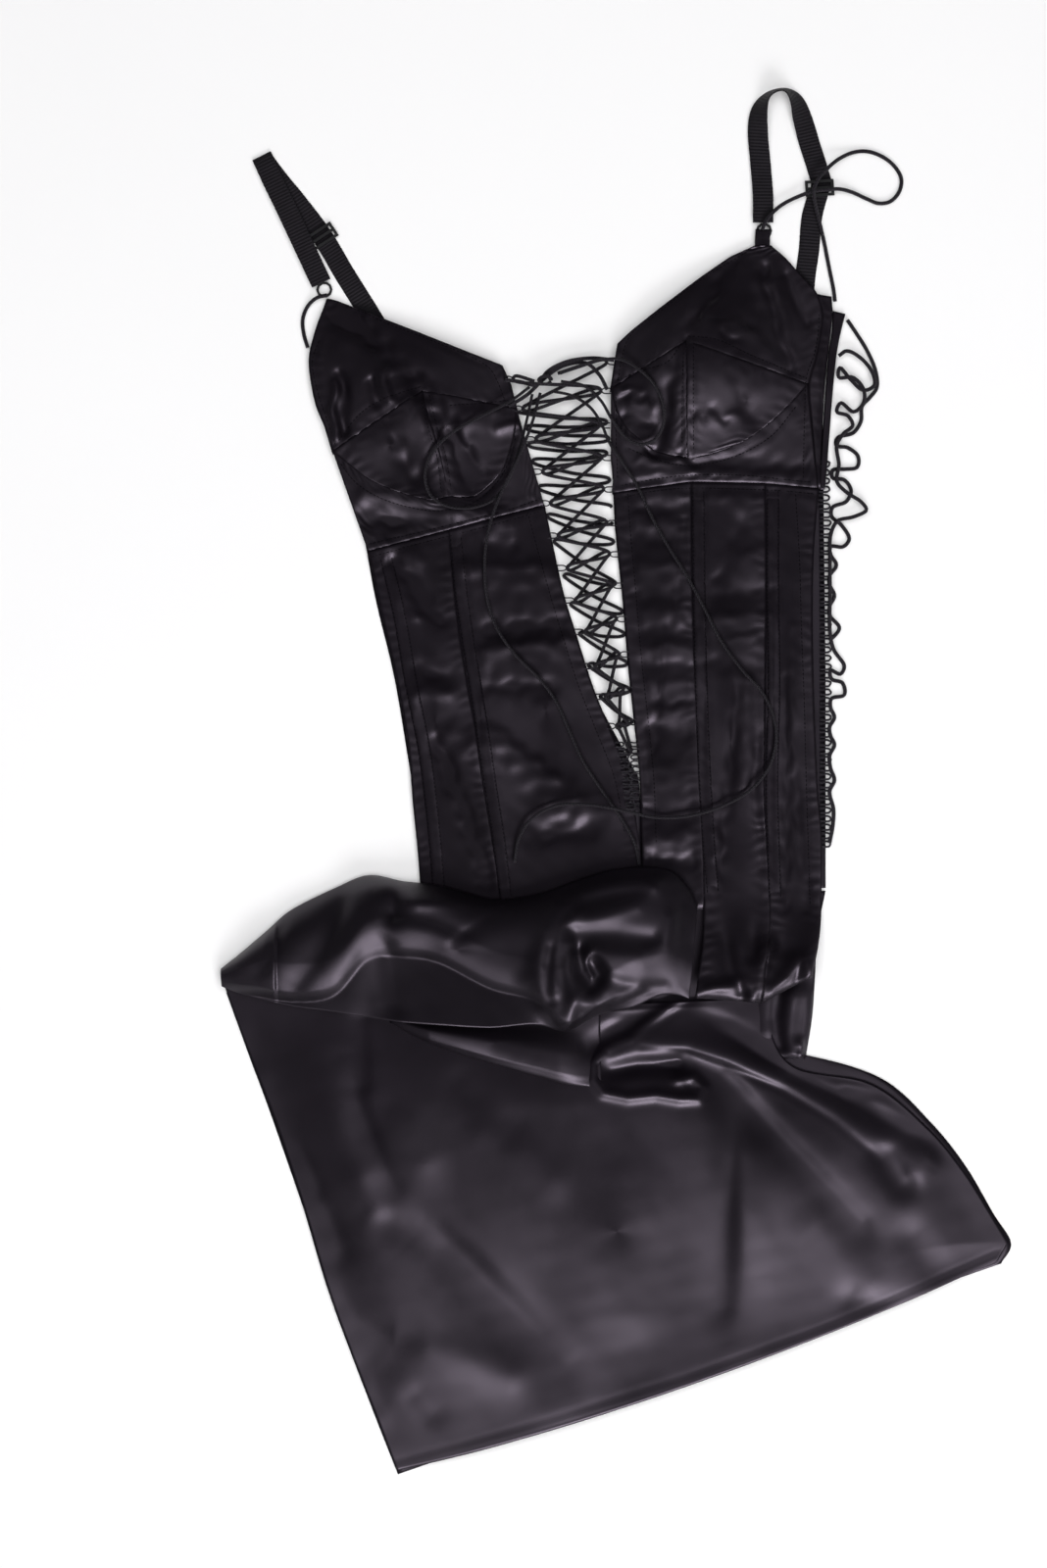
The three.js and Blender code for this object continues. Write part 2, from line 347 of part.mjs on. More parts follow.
// closed body through loops of points, with flat ends
function loft(loops) {
  const k = loops[0].length, pos = [], idx = [];
  for (const loop of loops) for (const p of loop) pos.push(...p);
  for (let i = 0; i < loops.length - 1; i++) for (let j = 0; j < k; j++) {
    const a = i * k + j, b = i * k + (j + 1) % k, c = b + k, d = a + k;
    idx.push(a, b, c, a, c, d);
  }
  const end = (loops.length - 1) * k;
  for (let j = 1; j < k - 1; j++) { idx.push(0, j + 1, j); idx.push(end, end + j, end + j + 1); }
  return closed(pos, idx);
}
// grid of plan points for a panel, drawn in by the seam allowance on its four sides
function planGrid(table, along, across, corner) {
  const rows = table.length, fine = [];
  for (let i = 0; i < rows - 1; i++) for (let k = 0; k < along; k++) fine.push(i + k / along);
  fine.push(rows - 1);
  const at = (s, u) => {
    const i = Math.min(rows - 2, Math.floor(s)), t = s - i, A = table[i], B = table[i + 1];
    const mix = A.map((v, k) => v + (B[k] - v) * t);
    if (mix.length === 4) return [mix[0] + (mix[2] - mix[0]) * u, mix[1] + (mix[3] - mix[1]) * u];
    const [lx, ly, mx, my, rx, ry] = mix;
    if (corner) {
      return u < 0.5 ? [lx + (mx - lx) * u * 2, ly + (my - ly) * u * 2] : [mx + (rx - mx) * (u * 2 - 1), my + (ry - my) * (u * 2 - 1)];
    }
    const a = (1 - u) * (1 - 2 * u), b = 4 * u * (1 - u), c = u * (2 * u - 1);
    return [a * lx + b * mx + c * rx, a * ly + b * my + c * ry];
  };
  const grid = fine.map((s) => { const r = []; for (let j = 0; j <= across; j++) r.push(at(s, j / across)); return r; });
  return inset(grid, SEAM);
}
function inset(grid, by) {
  const n = grid.length, m = grid[0].length;
  let turn = 0;
  for (let i = 0; i < n - 1; i++) for (let j = 0; j < m - 1; j++) {
    const a = grid[i][j], b = grid[i][j + 1], c = grid[i + 1][j + 1], d = grid[i + 1][j];
    turn += (c[0] - a[0]) * (d[1] - b[1]) - (c[1] - a[1]) * (d[0] - b[0]);
  }
  const s = turn > 0 ? 1 : -1;
  const rim = [];
  for (let j = 0; j < m; j++) rim.push([0, j]);
  for (let i = 1; i < n; i++) rim.push([i, m - 1]);
  for (let j = m - 2; j >= 0; j--) rim.push([n - 1, j]);
  for (let i = n - 2; i > 0; i--) rim.push([i, 0]);
  const moved = rim.map(([i, j], k) => {
    const [pi, pj] = rim[(k + rim.length - 1) % rim.length], [qi, qj] = rim[(k + 1) % rim.length];
    const p = grid[pi][pj], c = grid[i][j], q = grid[qi][qj];
    const e = (a, b) => { const l = Math.hypot(b[0] - a[0], b[1] - a[1]) || 1; return [-(b[1] - a[1]) / l * s, (b[0] - a[0]) / l * s]; };
    const n1 = e(p, c), n2 = e(c, q), sx = n1[0] + n2[0], sy = n1[1] + n2[1], l2 = Math.max(0.5, sx * sx + sy * sy);
    return [c[0] + (2 * by * sx) / l2, c[1] + (2 * by * sy) / l2];
  });
  const out = grid.map((r) => r.map((p) => p.slice()));
  rim.forEach(([i, j], k) => { out[i][j] = moved[k]; });
  return out;
}
const lifted = (plan, top) => plan.map((r) => r.map(([x, y]) => [x, y, top(x, y)]));
// underside of a cloth wall: thicker upright where the cloth is steep
function clothUnder(top, thick = CLOTH, floor = 0) {
  return (p) => {
    const e = 1.5, gx = (top(p[0] + e, p[1]) - top(p[0] - e, p[1])) / (2 * e), gy = (top(p[0], p[1] + e) - top(p[0], p[1] - e)) / (2 * e);
    return Math.max(floor, p[2] - thick * Math.min(1.7, Math.hypot(1, gx, gy)));
  };
}
const unit = (v) => { const l = Math.hypot(...v) || 1; return v.map((c) => c / l); };
const cross = (a, b) => [a[1] * b[2] - a[2] * b[1], a[2] * b[0] - a[0] * b[2], a[0] * b[1] - a[1] * b[0]];
const rad = (d) => (d * Math.PI) / 180;
// flat elastic band along a table of centres
function ribbon(table, width, thick) {
  const loops = table.map((row, i) => {
    const a = table[Math.max(0, i - 1)], b = table[Math.min(table.length - 1, i + 1)];
    const along = unit([b[0] - a[0], b[1] - a[1], b[2] - a[2]]);
    const w = [Math.cos(rad(row[4])) * Math.cos(rad(row[3])), Math.cos(rad(row[4])) * Math.sin(rad(row[3])), Math.sin(rad(row[4]))];
    const nrm = unit(cross(along, w)), side = w.map((c) => c * width / 2), up = nrm.map((c) => c * thick / 2);
    const p = row.slice(0, 3), q = (su, sw) => p.map((c, k) => c + su * up[k] + sw * side[k]);
    return [q(-1, -1), q(-1, 1), q(1, 1), q(1, -1)];
  });
  return loft(outward(loops));
}
// loops turned so that the body's faces look out
function outward(loops) {
  const a = loops[0], b = loops[1], mid = (l) => [0, 1, 2].map((k) => l.reduce((s, p) => s + p[k], 0) / l.length);
  const dir = mid(b).map((c, k) => c - mid(a)[k]);
  let n = [0, 0, 0];
  for (let j = 1; j < a.length - 1; j++) {
    const c = cross(a[j].map((v, k) => v - a[0][k]), a[j + 1].map((v, k) => v - a[0][k]));
    n = n.map((v, k) => v + c[k]);
  }
  return n[0] * dir[0] + n[1] * dir[1] + n[2] * dir[2] > 0 ? loops : loops.map((l) => l.slice().reverse());
}
// round cord through points, resampled along a smooth curve
function cord(points, diameter, steps) {
  const curve = new THREE.CatmullRomCurve3(points.map((p) => new THREE.Vector3(...p)), false, 'centripetal');
  const at = []; for (let i = 0; i <= steps; i++) at.push(curve.getPointAt(i / steps));
  let side = new THREE.Vector3(0, 0, 1);
  const loops = at.map((p, i) => {
    const t = at[Math.min(steps, i + 1)].clone().sub(at[Math.max(0, i - 1)]).normalize();
    side.sub(t.clone().multiplyScalar(side.dot(t))).normalize();
    const other = new THREE.Vector3().crossVectors(t, side), loop = [];
    for (let k = 0; k < CORD_SIDES; k++) {
      const a = (2 * Math.PI * (k + 0.5)) / CORD_SIDES;
      const q = p.clone().addScaledVector(side, Math.cos(a) * diameter / 2).addScaledVector(other, Math.sin(a) * diameter / 2);
      loop.push([q.x, q.y, q.z]);
    }
    return loop;
  });
  return loft(outward(loops));
}

// ---------- the dress ----------
const dress = new THREE.Group();
dress.name = 'corset_dress';
function add(name, geometry, look) {
  const mesh = new THREE.Mesh(geometry, new THREE.MeshStandardMaterial(look));
  mesh.name = name;
  dress.add(mesh);
}
const PANELS = {
  // name: table, cells between two rows, cells across, corner in the middle
  cup_upper_l: [CUP_UPPER_L, 1, 6, true], cup_outer_l: [CUP_OUTER_L, 1, 4], cup_inner_l: [CUP_INNER_L, 1, 4],
  cup_upper_r: [CUP_UPPER_R, 1, 6, true], cup_outer_r: [CUP_OUTER_R, 1, 4], cup_inner_r: [CUP_INNER_R, 1, 4],
  band_l: [BAND_L, 1, 2], band_r: [BAND_R, 1, 2], side_panel_l: [SIDE_PANEL_L, 1, 2], front_panel_l: [FRONT_PANEL_L, 1, 3],
  front_panel_r: [FRONT_PANEL_R, 1, 3], side_facing_r: [SIDE_FACING_R, 1, 1]
};
for (const [name, [table, along, across, corner]] of Object.entries(PANELS)) {
  add(name, wall(lifted(planGrid(table, along, across, corner), bodiceTop), clothUnder(bodiceTop)), SATIN);
}
// right panels run on below the waist and end in a folded, scalloped edge
const neckTop = (x, y) => bodiceTop(x, y) + 7 * ramp((-85 - y) / 60) + folds(x, y, NECK_FOLDS) * ramp((-95 - y) / 30);
add('mid_panel_r', wall(lifted(planGrid(MID_PANEL_R, 1, 3), neckTop), clothUnder(neckTop)), SATIN);
add('side_panel_r', wall(lifted(planGrid(SIDE_PANEL_R, 1, 3), neckTop), clothUnder(neckTop)), SATIN);
// side lacing strip, back halves and the back layers of the skirt lie flat on the surface
const flat = (z) => (x, y) => z;
add('side_tape_r', wall(lifted(planGrid(SIDE_TAPE_R, 1, 1), flat(3.4)), (p) => p[2] - CLOTH), SATIN);
add('back_l', wall(lifted(planGrid(BACK_L, 1, 2), flat(CLOTH)), () => 0), SATIN_DEEP);
add('back_r', wall(lifted(planGrid(BACK_R, 1, 2), flat(CLOTH)), () => 0), SATIN_DEEP);
add('skirt_neck', wall(lifted(planGrid(SKIRT_NECK, 1, 2), flat(CLOTH)), () => 0), SATIN_DEEP);
add('skirt_back', wall(lifted(planGrid(SKIRT_BACK, 1, 3), flat(CLOTH)), () => 0), SATIN_DEEP);
// skirt front, the flap rolled over it, and the fold laid over both
add('skirt_front', wall(lifted(planGrid(SKIRT_FRONT, 2, 16), skirtTop), clothUnder(skirtTop, CLOTH, 1.5)), SATIN);
{
  const plan = planGrid(FLAP, 1, 6), last = plan[0].length - 1;
  const grid = plan.map((r, i) => r.map(([x, y], j) => {
    const u = j / last, end = Math.sin(Math.PI * (0.08 + 0.84 * i / (plan.length - 1)));
    return [x, y, skirtTop(x, y) + 2.4 + (1.2 + 9 * Math.sin(Math.PI * Math.min(1, u * 1.25 + 0.04)) ** 0.8) * (0.45 + 0.55 * end) + 1.5 * u];
  }));
  add('skirt_flap', wall(grid, (p) => Math.max(skirtTop(p[0], p[1]) + 0.5, p[2] - CLOTH * 1.5)), SATIN);
}
{
  const plan = planGrid(FOLD_TOP.map((r) => r.slice(0, 4)), 2, 8), last = plan[0].length - 1;
  const height = (i, u) => {
    const s = Math.min(FOLD_TOP.length - 1.001, i / 2), k = Math.floor(s), t = s - k;
    const [low, crest, up] = [4, 5, 6].map((c) => FOLD_TOP[k][c] + (FOLD_TOP[k + 1][c] - FOLD_TOP[k][c]) * t);
    return (1 - u) * low + u * up + (crest - (low + up) / 2) * (4 * u * (1 - u)) ** 0.7;
  };
  const top = plan.map((r, i) => r.map(([x, y], j) => {
    const u = j / last;
    return [x, y, height(i, u) + CLOTH + folds(x, y, FOLD_TOP_FOLDS) * ramp(Math.min(u, 1 - u) * 5)];
  }));
  add('skirt_fold', wall(top, (p, i, j) => Math.max(2, p[2] - CLOTH * (j === 0 || j === last ? 1.1 : 1.5))), SATIN);
  // folded cloth under it: one rounded solid, made from the fold's points, moved in; it lies on the
  // surface, on the skirt's back layer at its right end and over the bodice's lower edge
  const heap = [];
  for (let i = 3; i <= 28; i++) {
    const row = [];
    for (let j = 2; j <= last - 1; j++) row.push([top[i][j][0], top[i][j][1], top[i][j][2] - HEAP_GAP]);
    heap.push(row);
  }
  const heapUnder = ([x, y]) => (y > -112 && x > -152 ? 8 : x > -14 ? 1.6 : y < -154 ? 1.6 : 0);
  add('skirt_heap', wall(heap, heapUnder), SATIN_DEEP);
}
// boning channels lie on the panels, made from the panels' own heights, moved out
for (const [name, line] of Object.entries(CASINGS)) {
  const on = name === 'casing_l1' || name === 'casing_l2' || name === 'casing_r1' ? bodiceTop : neckTop;
  const grid = line.map((p, i) => {
    const a = line[Math.max(0, i - 1)], b = line[Math.min(line.length - 1, i + 1)], d = unit([b[0] - a[0], b[1] - a[1]]);
    return [-1, 1].map((s) => {
      const x = p[0] - d[1] * s * CASING_WIDTH / 2, y = p[1] + d[0] * s * CASING_WIDTH / 2;
      return [x, y, on(x, y) + 0.9 + CASING_THICK];
    });
  });
  add(name, wall(grid, (p) => p[2] - CASING_THICK), SATIN);
}
// straps, rings, sliders and the small loop that ties the right ring to its cup
add('strap_l', ribbon(STRAP_L, STRAP_WIDTH, STRAP_THICK), ELASTIC);
add('strap_r', ribbon(STRAP_R, STRAP_WIDTH, STRAP_THICK), ELASTIC);
for (const [name, [x, y, z, turn]] of Object.entries(RINGS)) {
  const shape = new THREE.Shape().absarc(0, 0, RING_OUT, 0, 2 * Math.PI), hole = new THREE.Path().absarc(0, 0, RING_IN, 0, 2 * Math.PI, true);
  shape.holes.push(hole);
  const g = new THREE.ExtrudeGeometry(shape, { depth: RING_THICK, bevelEnabled: false, curveSegments: 5 });
  g.rotateZ(rad(turn)); g.translate(x, y, z);
  add(name, g, HARD);
}
for (const [name, [x, y, z, turn]] of Object.entries(SLIDERS)) {
  const box = (w, h) => [[-w, -h], [w, -h], [w, h], [-w, h]].map(([a, b]) => new THREE.Vector2(a / 2, b / 2));
  const shape = new THREE.Shape(box(SLIDER_LONG, SLIDER_SHORT)), slot = (SLIDER_SHORT - 3 * SLIDER_BAR) / 2;
  for (const s of [-1, 1]) {
    shape.holes.push(new THREE.Path(box(SLIDER_LONG - 2 * SLIDER_BAR, slot).map((v) => v.add(new THREE.Vector2(0, s * (slot + SLIDER_BAR) / 2))).reverse()));
  }
  const g = new THREE.ExtrudeGeometry(shape, { depth: SLIDER_THICK, bevelEnabled: false });
  g.rotateZ(rad(turn)); g.translate(x, y, z);
  add(name, g, HARD);
}
// hook tapes along the two centre front edges
const EDGE_L = FRONT_PANEL_L.map((r) => [r[2], r[3]]), EDGE_R = FRONT_PANEL_R.map((r) => [r[0], r[1]]);
for (const [name, edge, s, count] of [['hook_tape_l', EDGE_L, 1, 6], ['hook_tape_r', EDGE_R, -1, 6]]) {
  const grid = edge.slice(0, count).map(([x, y]) => [0.35, 2.6].map((d) => [x + s * d, y, bodiceTop(x, y) - 0.1]));
  add(name, wall(grid, (p) => p[2] - 1), SATIN_DEEP);
}
// cord with a section at each given point
function cordThrough(points, diameter) {
  const at = points.map((p) => new THREE.Vector3(...p)), side = new THREE.Vector3(0, 0, 1);
  const loops = at.map((p, i) => {
    const a = at[Math.max(0, i - 1)], b = at[Math.min(at.length - 1, i + 1)];
    const t = p.clone().sub(a).normalize().add(b.clone().sub(p).normalize()).normalize();
    side.sub(t.clone().multiplyScalar(side.dot(t))).normalize();
    const other = new THREE.Vector3().crossVectors(t, side), loop = [];
    for (let k = 0; k < CORD_SIDES; k++) {
      const w = (2 * Math.PI * (k + 0.5)) / CORD_SIDES;
      const q = p.clone().addScaledVector(side, Math.cos(w) * diameter / 2).addScaledVector(other, Math.sin(w) * diameter / 2);
      loop.push([q.x, q.y, q.z]);
    }
    return loop;
  });
  return loft(outward(loops));
}
// front lacing: two cords, each crossing down to the next hook and then straight across, at its own height
function lacing(nodes, right, z, off, start) {
  const pts = [[start[0], start[1], z]];
  const turn = (isRight, k) => {
    const [lx, ly, rx, ry] = nodes[k], s = isRight ? -1 : 1, x = isRight ? rx - off : lx + off, y = isRight ? ry : ly;
    pts.push([x + s * 1.7, y + 1.9, z], [x, y, z], [x + s * 1.7, y - 1.9, z]);
  };
  turn(right, 0);
  for (let k = 1; k < nodes.length; k++) { turn(!right, k); if (k < nodes.length - 1) turn(right, k); }
  return pts;
}
const EYE_OFF = 4.6;
add('lace_front_a', cordThrough(lacing(HOOKS, true, FRONT_LACE_Z, EYE_OFF, [-43, 298]), LACE), CORD);
add('lace_front_b', cordThrough(lacing(HOOKS, false, FRONT_LACE_Z + LACE_STEP, EYE_OFF, [-60, 292]), LACE), CORD);
const edgeX = (edge, y) => {
  for (let i = 0; i < edge.length - 1; i++) {
    const [ax, ay] = edge[i], [bx, by] = edge[i + 1];
    if (y <= ay && y >= by) return ax + (bx - ax) * (y - ay) / (by - ay);
  }
  return y > edge[0][1] ? edge[0][0] : edge[edge.length - 1][0];
};
// back lacing: one cord after the other runs from side to side on the surface, with a little slack
function slackLacing(route, z) {
  const pts = [];
  route.forEach(([x, y], k) => {
    const next = route[k + 1], last = route[k - 1];
    const s = next ? Math.sign(next[0] - x) : Math.sign(last[0] - x);
    if (last) pts.push([x + s * 1.5, y + 1.5, z]);
    pts.push([x, y, z]);
    if (next) pts.push([x + s * 1.5, y - 1.5, z], [(x + next[0]) / 2, (y + next[1]) / 2 - 1.6, z]);
  });
  return pts;
}
add('lace_back_a', cordThrough(slackLacing(BACK_A, BACK_LACE_Z), LACE), CORD);
add('lace_back_b', cordThrough(slackLacing(BACK_B, BACK_LACE_Z), LACE), CORD);

// bow at centre front: a knot, two loops and two free tails that rest on the bodice and over the lacing
const KNOT = [-52.2, 292.3, 11.4, 14, 9, 5];
{
  const [x, y, z, w, d, h] = KNOT, rings = [];
  for (const [t, s] of [[0, 0.7], [0.3, 1], [0.7, 1], [1, 0.65]]) {
    const loop = [];
    for (let k = 0; k < 10; k++) { const a = 2 * Math.PI * k / 10; loop.push([x + Math.cos(a) * w * s / 2, y + Math.sin(a) * d * s / 2, z + h * t]); }
    rings.push(loop);
  }
  add('lace_knot', loft(outward(rings)), CORD);
}
const OVER_LACING = FRONT_LACE_Z + LACE_STEP + LACE + 0.6;
const FRONT_EDGE_L = HOOKS.map((r) => [r[0], r[1]]), FRONT_EDGE_R = HOOKS.map((r) => [r[2], r[3]]);
function restHeight(x, y) {
  const inGap = y < 300 && y > 12 && x > edgeX(FRONT_EDGE_L, y) - 5 && x < edgeX(FRONT_EDGE_R, y) + 5;
  return Math.max(neckTop(x, y) + 2.2 + LACE / 2, inGap ? OVER_LACING : 0);
}
function restingCord(route, diameter, steps) {
  const flatCurve = new THREE.CatmullRomCurve3(route.map(([x, y, h]) => new THREE.Vector3(x, y, h)), false, 'centripetal');
  const n = steps * 3, raw = [];
  for (let i = 0; i <= n; i++) raw.push(flatCurve.getPointAt(i / n));
  const z = raw.map((p) => restHeight(p.x, p.y)), top = z.map((v, i) => Math.max(...z.slice(Math.max(0, i - 3), i + 4)));
  const smooth = top.map((v, i) => { const w = top.slice(Math.max(0, i - 3), i + 4); return w.reduce((s, c) => s + c, 0) / w.length; });
  const pts = [];
  for (let i = 0; i <= n; i += 3) pts.push([raw[i].x, raw[i].y, Math.max(smooth[i], z[i]) + raw[i].z]);
  return cordThrough(pts, diameter);
}
add('lace_loop_l', restingCord(LOOP_L, LACE, 32), CORD);
add('lace_loop_r', restingCord(LOOP_R, LACE, 32), CORD);
add('lace_tail_l', restingCord(TAIL_L, LACE, 48), CORD);
add('lace_tail_r', restingCord(TAIL_R, LACE, 70), CORD);

// side lacing, slack: two cords that stand out in loops along the right edge, and their free end
add('side_lace_a', cord(SIDE_A, SIDE_LACE, 80), CORD);
add('side_lace_b', cord(SIDE_B, SIDE_LACE, 84), CORD);
add('side_lace_tail', cord(SIDE_TAIL, SIDE_LACE, 40), CORD);
add('side_lace_end_l', cord(SIDE_END_L, SIDE_LACE, 10), CORD);
add('ring_tab_r', ribbon([[107.6, 403, 3.9, 0, 0], [107.2, 398, 3.9, 0, 0], [107, 393, 4.3, 0, 0]], 11, 1), SATIN);

// the frame: origin at the middle of the underside, measured without the cord's free ends
const FREE = ['lace_loop_l', 'lace_loop_r', 'lace_tail_l', 'lace_tail_r', 'side_lace_a', 'side_lace_b', 'side_lace_tail', 'side_lace_end_l'];
const box = new THREE.Box3();
dress.traverse((o) => { if (o.isMesh && !FREE.includes(o.name)) { o.geometry.computeBoundingBox(); box.union(o.geometry.boundingBox); } });
dress.traverse((o) => { if (o.isMesh) o.geometry.translate(-(box.min.x + box.max.x) / 2, -(box.min.y + box.max.y) / 2, -box.min.z); });
export default dress;
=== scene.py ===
import math
import random

import bpy
import numpy as np
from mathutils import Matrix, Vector


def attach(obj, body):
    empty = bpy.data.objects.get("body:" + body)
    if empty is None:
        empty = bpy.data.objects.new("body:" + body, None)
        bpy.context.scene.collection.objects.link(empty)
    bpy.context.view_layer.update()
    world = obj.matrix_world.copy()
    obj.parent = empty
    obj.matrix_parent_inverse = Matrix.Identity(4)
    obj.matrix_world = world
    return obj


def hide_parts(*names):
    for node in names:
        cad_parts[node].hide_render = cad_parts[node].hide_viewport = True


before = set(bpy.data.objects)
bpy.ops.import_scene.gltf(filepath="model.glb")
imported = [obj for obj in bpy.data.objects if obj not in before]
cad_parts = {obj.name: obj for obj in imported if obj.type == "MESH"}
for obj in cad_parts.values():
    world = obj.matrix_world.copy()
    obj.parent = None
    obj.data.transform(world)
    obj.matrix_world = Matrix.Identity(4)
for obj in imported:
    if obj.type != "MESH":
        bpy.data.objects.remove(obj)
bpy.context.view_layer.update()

RNG = random.Random(41)

# Plan units: the tables give millimetres; the finer folds are placed in steps of PX millimetres,
# counted right and down from the picture's corner, and turned into millimetres by P().
PX = 0.72
MID_X, MID_Y = 628.5, 796.0
SHIFT = (0.009, 0.617)          # the CAD frame's middle, in millimetres
CLOTH = 1.2
BASE = 3.2
LACE, SIDE_LACE = 2.2, 2.8
FRONT_LACE_Z, LACE_STEP, BACK_LACE_Z, HEAP_GAP = 7.2, 2.6, 1.6, 3.4
CASING_WIDTH, CASING_THICK = 9.5, 1.0
STRAP_WIDTH, STRAP_THICK = 15.0, 1.0


def P(*v):
    out = []
    for i in range(0, len(v), 2):
        out += [(v[i] - MID_X) * PX, (MID_Y - v[i + 1]) * PX]
    return out


CUP_UPPER_L = [
  (-212, 352.8, -208.4, 352.4, -204.1, 351.4), (-220.7, 328.3, -192.6, 333.4, -164.5, 335.5),
  (-225, 306.7, -173.2, 319.7, -114.1, 315.4), (-220.7, 277.9, -158.8, 305.3, -83.9, 303.8),
  (-213.5, 259.2, -150.1, 294.5, -77.4, 289.4), (-207.7, 241.2, -142.2, 284.4, -73.1, 272.2)
]
CUP_OUTER_L = [
  (-207.7, 241.2, -142.2, 284.4), (-196.2, 231.8, -137.9, 267.1), (-181.8, 221, -132.1, 249.1),
  (-160.9, 211.7, -127.1, 229), (-135.7, 205.2, -122.8, 207.4)
]
CUP_INNER_L = [
  (-142.2, 284.4, -73.1, 272.2), (-137.9, 267.1, -73.8, 259.2), (-132.1, 249.1, -77.4, 243.4),
  (-127.1, 229, -85.3, 224.6), (-122.8, 207.4, -103.3, 208.1)
]
BAND_L = [
  (-207.7, 241.2, -181.8, 168.5), (-196.2, 231.8, -173.2, 171), (-181.8, 221, -160.2, 174.6),
  (-160.9, 211.7, -141.5, 179.6), (-135.7, 205.2, -124.2, 184.3), (-122.8, 207.4, -108.4, 188.6),
  (-103.3, 208.1, -92.5, 193), (-85.3, 224.6, -76.7, 196.9), (-77.4, 243.4, -65.2, 199.8),
  (-73.8, 259.2, -58, 201.6), (-73.1, 272.2, -53.6, 202.7)
]
SIDE_PANEL_L = [
  (-181.8, 167.4, -122.8, 182.9), (-176, 141.1, -119.2, 141.1), (-169.6, 112.3, -114.8, 105.1),
  (-163.1, 83.5, -109.1, 69.1), (-156.6, 51.1, -103.3, 36.7), (-151.6, 18.7, -98.3, 0.7),
  (-148.7, -17.3, -92.5, -35.3), (-145.1, -53.3, -87.5, -67.7), (-142.2, -92.9, -83.9, -97.9)
]
FRONT_PANEL_L = [
  (-122.8, 182.9, -52.9, 201.2), (-119.2, 141.1, -40, 141.1), (-114.8, 105.1, -29.2, 105.1),
  (-109.1, 69.1, -16.9, 67), (-103.3, 36.7, -4.7, 36.7), (-98.3, 0.7, 9, 0.7), (-92.5, -35.3, 15.5, -38.9),
  (-87.5, -67.7, 19.1, -71.3), (-83.9, -97.9, 19.8, -96.5)
]
CUP_UPPER_R = [
  (101.2, 391.7, 106.9, 392.4, 113.4, 391.7), (83.9, 383.8, 103.3, 386.6, 123.5, 383),
  (62.3, 368.6, 98.3, 375.1, 134.3, 370.8), (31.3, 344.9, 87.5, 360.7, 146.5, 357.1),
  (11.2, 329, 75.2, 348.5, 150.8, 342.7), (1.1, 319.7, 64.4, 338.4, 149.4, 328.3),
  (-1.8, 302.4, 57.2, 329.8, 145.8, 310.3), (-4, 286.6, 50, 320.4, 140, 290.2)
]
CUP_INNER_R = [
  (-4, 286.6, 50, 320.4), (-0.4, 272.2, 50.8, 295.9), (6.8, 259.2, 50.8, 274.3), (16.9, 249.8, 51.5, 256.3),
  (29.9, 240.5, 51.5, 236.2)
]
CUP_OUTER_R = [
  (50, 320.4, 140, 290.2), (50.8, 295.9, 127.8, 276.5), (50.8, 274.3, 112.7, 262.1),
  (51.5, 256.3, 93.2, 248.4), (51.5, 236.2, 70.2, 239)
]
BAND_R = [
  (-4, 286.6, -4, 236.2), (-0.4, 272.2, -2.5, 221.8), (6.8, 259.2, -1.8, 211.7), (16.9, 249.8, 11.9, 213.8),
  (29.9, 240.5, 28.4, 216), (51.5, 236.2, 51.5, 219.6), (70.2, 239, 73.1, 219.6), (93.2, 248.4, 96.1, 219.2),
  (112.7, 262.1, 116.3, 218.2), (127.8, 276.5, 134.3, 216), (140, 290.2, 147.2, 214.9)
]
SIDE_FACING_R = [
  (148, 355.7, 157.3, 354.2), (151.6, 342.7, 158, 342.7), (150.1, 328.3, 156.6, 328.3),
  (146.5, 310.3, 154.4, 310.3), (141.1, 290.2, 152.3, 288), (143.6, 263.5, 150.8, 263.5),
  (146.2, 238.3, 149.4, 238.3), (148.3, 216, 149.4, 216)
]
FRONT_PANEL_R = [
  (-1.8, 210.2, 55.1, 218.2), (-0.4, 184.3, 55.1, 184.3), (2.5, 155.5, 55.8, 148.3), (5.4, 126.7, 56.5, 112.3),
  (9, 83.5, 58, 76.3), (13.3, 43.9, 59.4, 40.3), (17.6, 0.7, 60.8, -2.9), (19.1, -38.9, 63, -38.9),
  (19.8, -92.9, 64.4, -92.9)
]
MID_PANEL_R = [
  (55.1, 218.2, 109.1, 217.1), (55.4, 166.3, 109.8, 166.3), (56.2, 119.5, 109.8, 119.5),
  (58, 69.1, 109.1, 69.1), (60.8, -2.9, 108.4, -2.9), (63, -38.9, 109.8, -38.9), (64.4, -78.5, 112, -78.5),
  (63.7, -118.1, 112, -110.9), (58, -157, 106.2, -160.6)
]
SIDE_PANEL_R = [
  (109.1, 217.1, 148, 213.5), (109.8, 166.3, 144.4, 166.3), (109.8, 119.5, 143.6, 119.5),
  (109.1, 69.1, 144.4, 69.1), (108.4, -2.9, 147.2, -2.9), (109.8, -38.9, 150.1, -38.9),
  (112, -78.5, 150.1, -78.5), (112, -110.9, 148.7, -110.9), (106.2, -160.6, 142.9, -141.8)
]
SIDE_TAPE_R = [
  (158.8, 344.2, 168.1, 342), (158, 328.3, 164.5, 327.6), (155.5, 312.5, 161.6, 311.8),
  (153.4, 285.1, 158.8, 285.1), (151.6, 256.3, 156.6, 256.3), (150.1, 227.5, 154.4, 227.5),
  (149.4, 213.1, 153, 213.1)
]
